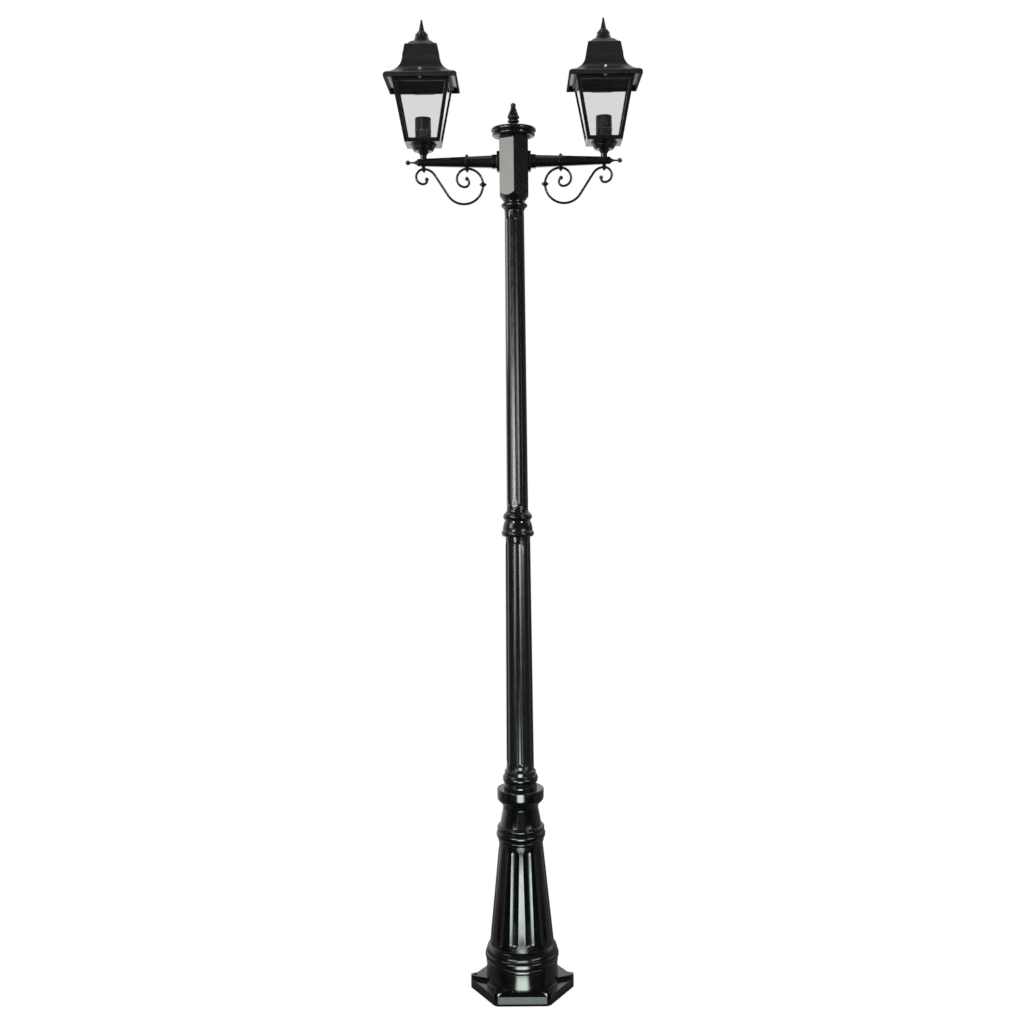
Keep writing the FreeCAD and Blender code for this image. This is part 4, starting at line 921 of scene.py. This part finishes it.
def mirrored_only(piece):
    """Leaves a piece of the stage to be seen in mirror paint alone."""
    piece.visible_camera = False
    piece.visible_diffuse = False
    piece.visible_transmission = False
    piece.visible_shadow = False


def studio_lamps(stage):
    """Two upright strips that paint doesn't mirror, a high window on the left, and two small lamps that
    only show mirrored, as sparks."""
    neutral, warm = (1.0, 1.0, 1.0), (1.0, 0.97, 0.92)
    for name, x in (("left strip", -2.14), ("right strip", 2.14)):
        strip = studio_lamp(name, at=(x, -2.38, 2.0), aim_height=2.0, size=(0.30, 2.4),
                            radiance=stage.strip_radiance, colour=neutral)
        strip.visible_glossy = False
    studio_lamp("left window", at=(-2.49, -1.68, 2.75), aim_height=2.42, size=(1.5, 1.4),
                radiance=stage.window_radiance, colour=warm, spread=math.radians(76.0))
    for name, x in (("left spark", -2.3), ("right spark", 2.4)):
        spark = studio_lamp(name, at=(x, -2.6, 4.4), aim_height=2.0, size=(0.40, 0.40),
                            radiance=stage.spark_radiance, colour=neutral, spread=math.radians(36.0))
        spark.visible_diffuse = False


def studio_lamp(name, at, aim_height, size, radiance, colour, spread=math.pi):
    """Soft rectangle aimed at a height of the post. Its power is the radiance along its axis times pi
    times its area, less the share that a narrower spread leaves out."""
    width, height = size
    light = bpy.data.lights.new(name, "AREA")
    light.shape = "RECTANGLE"
    light.size = width
    light.size_y = height
    light.spread = spread
    light.energy = radiance * math.pi * width * height * (1.0 - spread / 2 / math.tan(spread / 2))
    light.color = colour
    lamp = bpy.data.objects.new(name, light)
    lamp.location = at
    toward = Vector((0.0, 0.0, aim_height)) - Vector(at)
    lamp.rotation_euler = toward.to_track_quat("-Z", "Y").to_euler()
    bpy.context.scene.collection.objects.link(lamp)
    return lamp


def studio_camera(scene, stage):
    """Camera turned by roll about its own axis, tilted from level, then panned."""
    film_width = 36.0
    lens = bpy.data.cameras.new("camera")
    lens.sensor_width = film_width
    lens.lens = stage.lens
    camera = bpy.data.objects.new("camera", lens)
    camera.matrix_world = (Matrix.Translation(stage.eye) @ Matrix.Rotation(stage.pan, 4, "Z")
                           @ Matrix.Rotation(math.pi / 2 - stage.tilt, 4, "X")
                           @ Matrix.Rotation(stage.roll, 4, "Z"))
    scene.collection.objects.link(camera)
    scene.camera = camera


# Operators


class LAMPPOST_OT_castings(bpy.types.Operator):
    """Paint the pedestal, shafts, collars, head, arms, scrolls and lantern frames"""
    bl_idname = "lamp_post.castings"
    bl_label = "Paint Castings"

    def execute(self, context):
        dress(gloss_paint(), ["base_pedestal", "lower_shaft", "coupling_collar", "upper_shaft",
                              "neck_collar", "head_box", "head_cap"])
        dress(gloss_paint(), paired("arm_socket", "arm", "arm_tip", "scroll", "scroll_knuckle",
                                    "inner_clip", "outer_clip", "lantern_stem", "lantern_frame"))
        return {"FINISHED"}


class LAMPPOST_OT_skirt(bpy.types.Operator):
    """Build the flared skirt round the pedestal's plinth"""
    bl_idname = "lamp_post.skirt"
    bl_label = "Build Plinth Skirt"

    def execute(self, context):
        plinth_skirt(gloss_paint())
        return {"FINISHED"}


class LAMPPOST_OT_bud(bpy.types.Operator):
    """Carve the bud on the head's cap"""
    bl_idname = "lamp_post.bud"
    bl_label = "Carve Bud"

    def execute(self, context):
        carved_bud(gloss_paint(), context.scene.lamp_post_fittings.bud_scales)
        return {"FINISHED"}


class LAMPPOST_OT_cups(bpy.types.Operator):
    """Build the turned cups under the lanterns"""
    bl_idname = "lamp_post.cups"
    bl_label = "Build Lantern Cups"

    def execute(self, context):
        for side in SIDES:
            turned_cup(side, gloss_paint())
        return {"FINISHED"}


class LAMPPOST_OT_roofs(bpy.types.Operator):
    """Paint the lantern roofs and build their spikes"""
    bl_idname = "lamp_post.roofs"
    bl_label = "Finish Roofs"

    def execute(self, context):
        dress(satin_paint(), paired("roof"))
        for side in SIDES:
            turned_spike(side, satin_paint())
        return {"FINISHED"}


class LAMPPOST_OT_panes(bpy.types.Operator):
    """Glaze the lanterns"""
    bl_idname = "lamp_post.panes"
    bl_label = "Glaze Lanterns"

    def execute(self, context):
        dress(glass_material(), paired("pane_front", "pane_outer", "pane_rear", "pane_inner"))
        return {"FINISHED"}


class LAMPPOST_OT_lampholders(bpy.types.Operator):
    """Build the lampholders with a ribbed ring, a screw shell and a contact in the well"""
    bl_idname = "lamp_post.lampholders"
    bl_label = "Build Lampholders"

    def execute(self, context):
        fittings = context.scene.lamp_post_fittings
        plastic = moulded_material("lampholder plastic", (0.058, 0.056, 0.060), roughness=0.45,
                                   grain_scale=900.0, specular=0.2)
        grip = moulded_material("lampholder grip", (0.150, 0.143, 0.160), roughness=0.38,
                                grain_scale=900.0, specular=0.4)
        nickel = metal_material("nickel shell", (0.66, 0.63, 0.57), roughness=0.24,
                                grain_scale=300.0, stretch=8.0)
        brass = brass_material("contact brass")
        for side in SIDES:
            lampholder_body(side, plastic)
            lampholder_ring(side, grip, fittings)
            lampholder_shell(side, nickel, fittings)
            lampholder_contact(side, brass)
        return {"FINISHED"}


class LAMPPOST_OT_fasteners(bpy.types.Operator):
    """Build the dome nuts on the roofs and finish the studs and hinge pins"""
    bl_idname = "lamp_post.fasteners"
    bl_label = "Build Fasteners"

    def execute(self, context):
        flats = context.scene.lamp_post_fittings.nut_flats
        steel = metal_material("stainless steel", (0.78, 0.78, 0.77), roughness=0.38,
                               grain_scale=420.0, stretch=6.0)
        dress(steel, paired("roof_stud", "hinge_pin"))
        for side in SIDES:
            dome_nut(side, steel, flats)
        return {"FINISHED"}


class LAMPPOST_OT_inner(bpy.types.Operator):
    """Finish the sleeves, tubes, nuts, gasket and terminal block inside the post"""
    bl_idname = "lamp_post.inner"
    bl_label = "Finish Inner Pieces"

    def execute(self, context):
        rubber = moulded_material("gasket rubber", (0.018, 0.018, 0.018), roughness=0.75, grain_scale=500.0)
        block = moulded_material("terminal plastic", (0.72, 0.71, 0.66), roughness=0.45, grain_scale=700.0)
        dress(zinc_material(), ["base_coupling", "shaft_coupling", *paired("arm_nut")])
        dress(brass_material("plain brass"), paired("lantern_nipple"))
        dress(rubber, ["head_gasket"])
        dress(block, ["terminal_block"])
        return {"FINISHED"}


class LAMPPOST_OT_stage(bpy.types.Operator):
    """Build the white floor and background, the studio lamps and the camera"""
    bl_idname = "lamp_post.stage"
    bl_label = "Build Stage"

    def execute(self, context):
        stage = context.scene.lamp_post_stage
        studio_world(context.scene, stage)
        pale_floor()
        runway(stage)
        flags()
        studio_lamps(stage)
        studio_camera(context.scene, stage)
        context.scene.view_settings.view_transform = "Standard"
        return {"FINISHED"}


OPERATORS = (LAMPPOST_OT_castings, LAMPPOST_OT_skirt, LAMPPOST_OT_bud, LAMPPOST_OT_cups, LAMPPOST_OT_roofs,
             LAMPPOST_OT_panes, LAMPPOST_OT_lampholders, LAMPPOST_OT_fasteners, LAMPPOST_OT_inner,
             LAMPPOST_OT_stage)


class LAMPPOST_PT_panel(bpy.types.Panel):
    """Settings and steps of the lamp post"""
    bl_idname = "LAMPPOST_PT_panel"
    bl_label = "Lamp Post"
    bl_space_type = "VIEW_3D"
    bl_region_type = "UI"
    bl_category = "Lamp Post"

    def draw(self, context):
        for key, settings in SETTINGS.items():
            box = self.layout.box()
            for name in settings.__annotations__:
                box.prop(getattr(context.scene, key), name)
        for operator in OPERATORS:
            self.layout.operator(operator.bl_idname)


def register():
    for settings in SETTINGS.values():
        bpy.utils.register_class(settings)
    for key, settings in SETTINGS.items():
        setattr(bpy.types.Scene, key, PointerProperty(type=settings))
    for operator in OPERATORS:
        bpy.utils.register_class(operator)
    bpy.utils.register_class(LAMPPOST_PT_panel)


def unregister():
    bpy.utils.unregister_class(LAMPPOST_PT_panel)
    for operator in reversed(OPERATORS):
        bpy.utils.unregister_class(operator)
    for key in SETTINGS:
        delattr(bpy.types.Scene, key)
    for settings in SETTINGS.values():
        bpy.utils.unregister_class(settings)


def main():
    register()
    bpy.ops.lamp_post.castings()
    bpy.ops.lamp_post.skirt()
    bpy.ops.lamp_post.bud()
    bpy.ops.lamp_post.cups()
    bpy.ops.lamp_post.roofs()
    bpy.ops.lamp_post.panes()
    bpy.ops.lamp_post.lampholders()
    bpy.ops.lamp_post.fasteners()
    bpy.ops.lamp_post.inner()
    bpy.ops.lamp_post.stage()


if __name__ == "__main__":
    main()
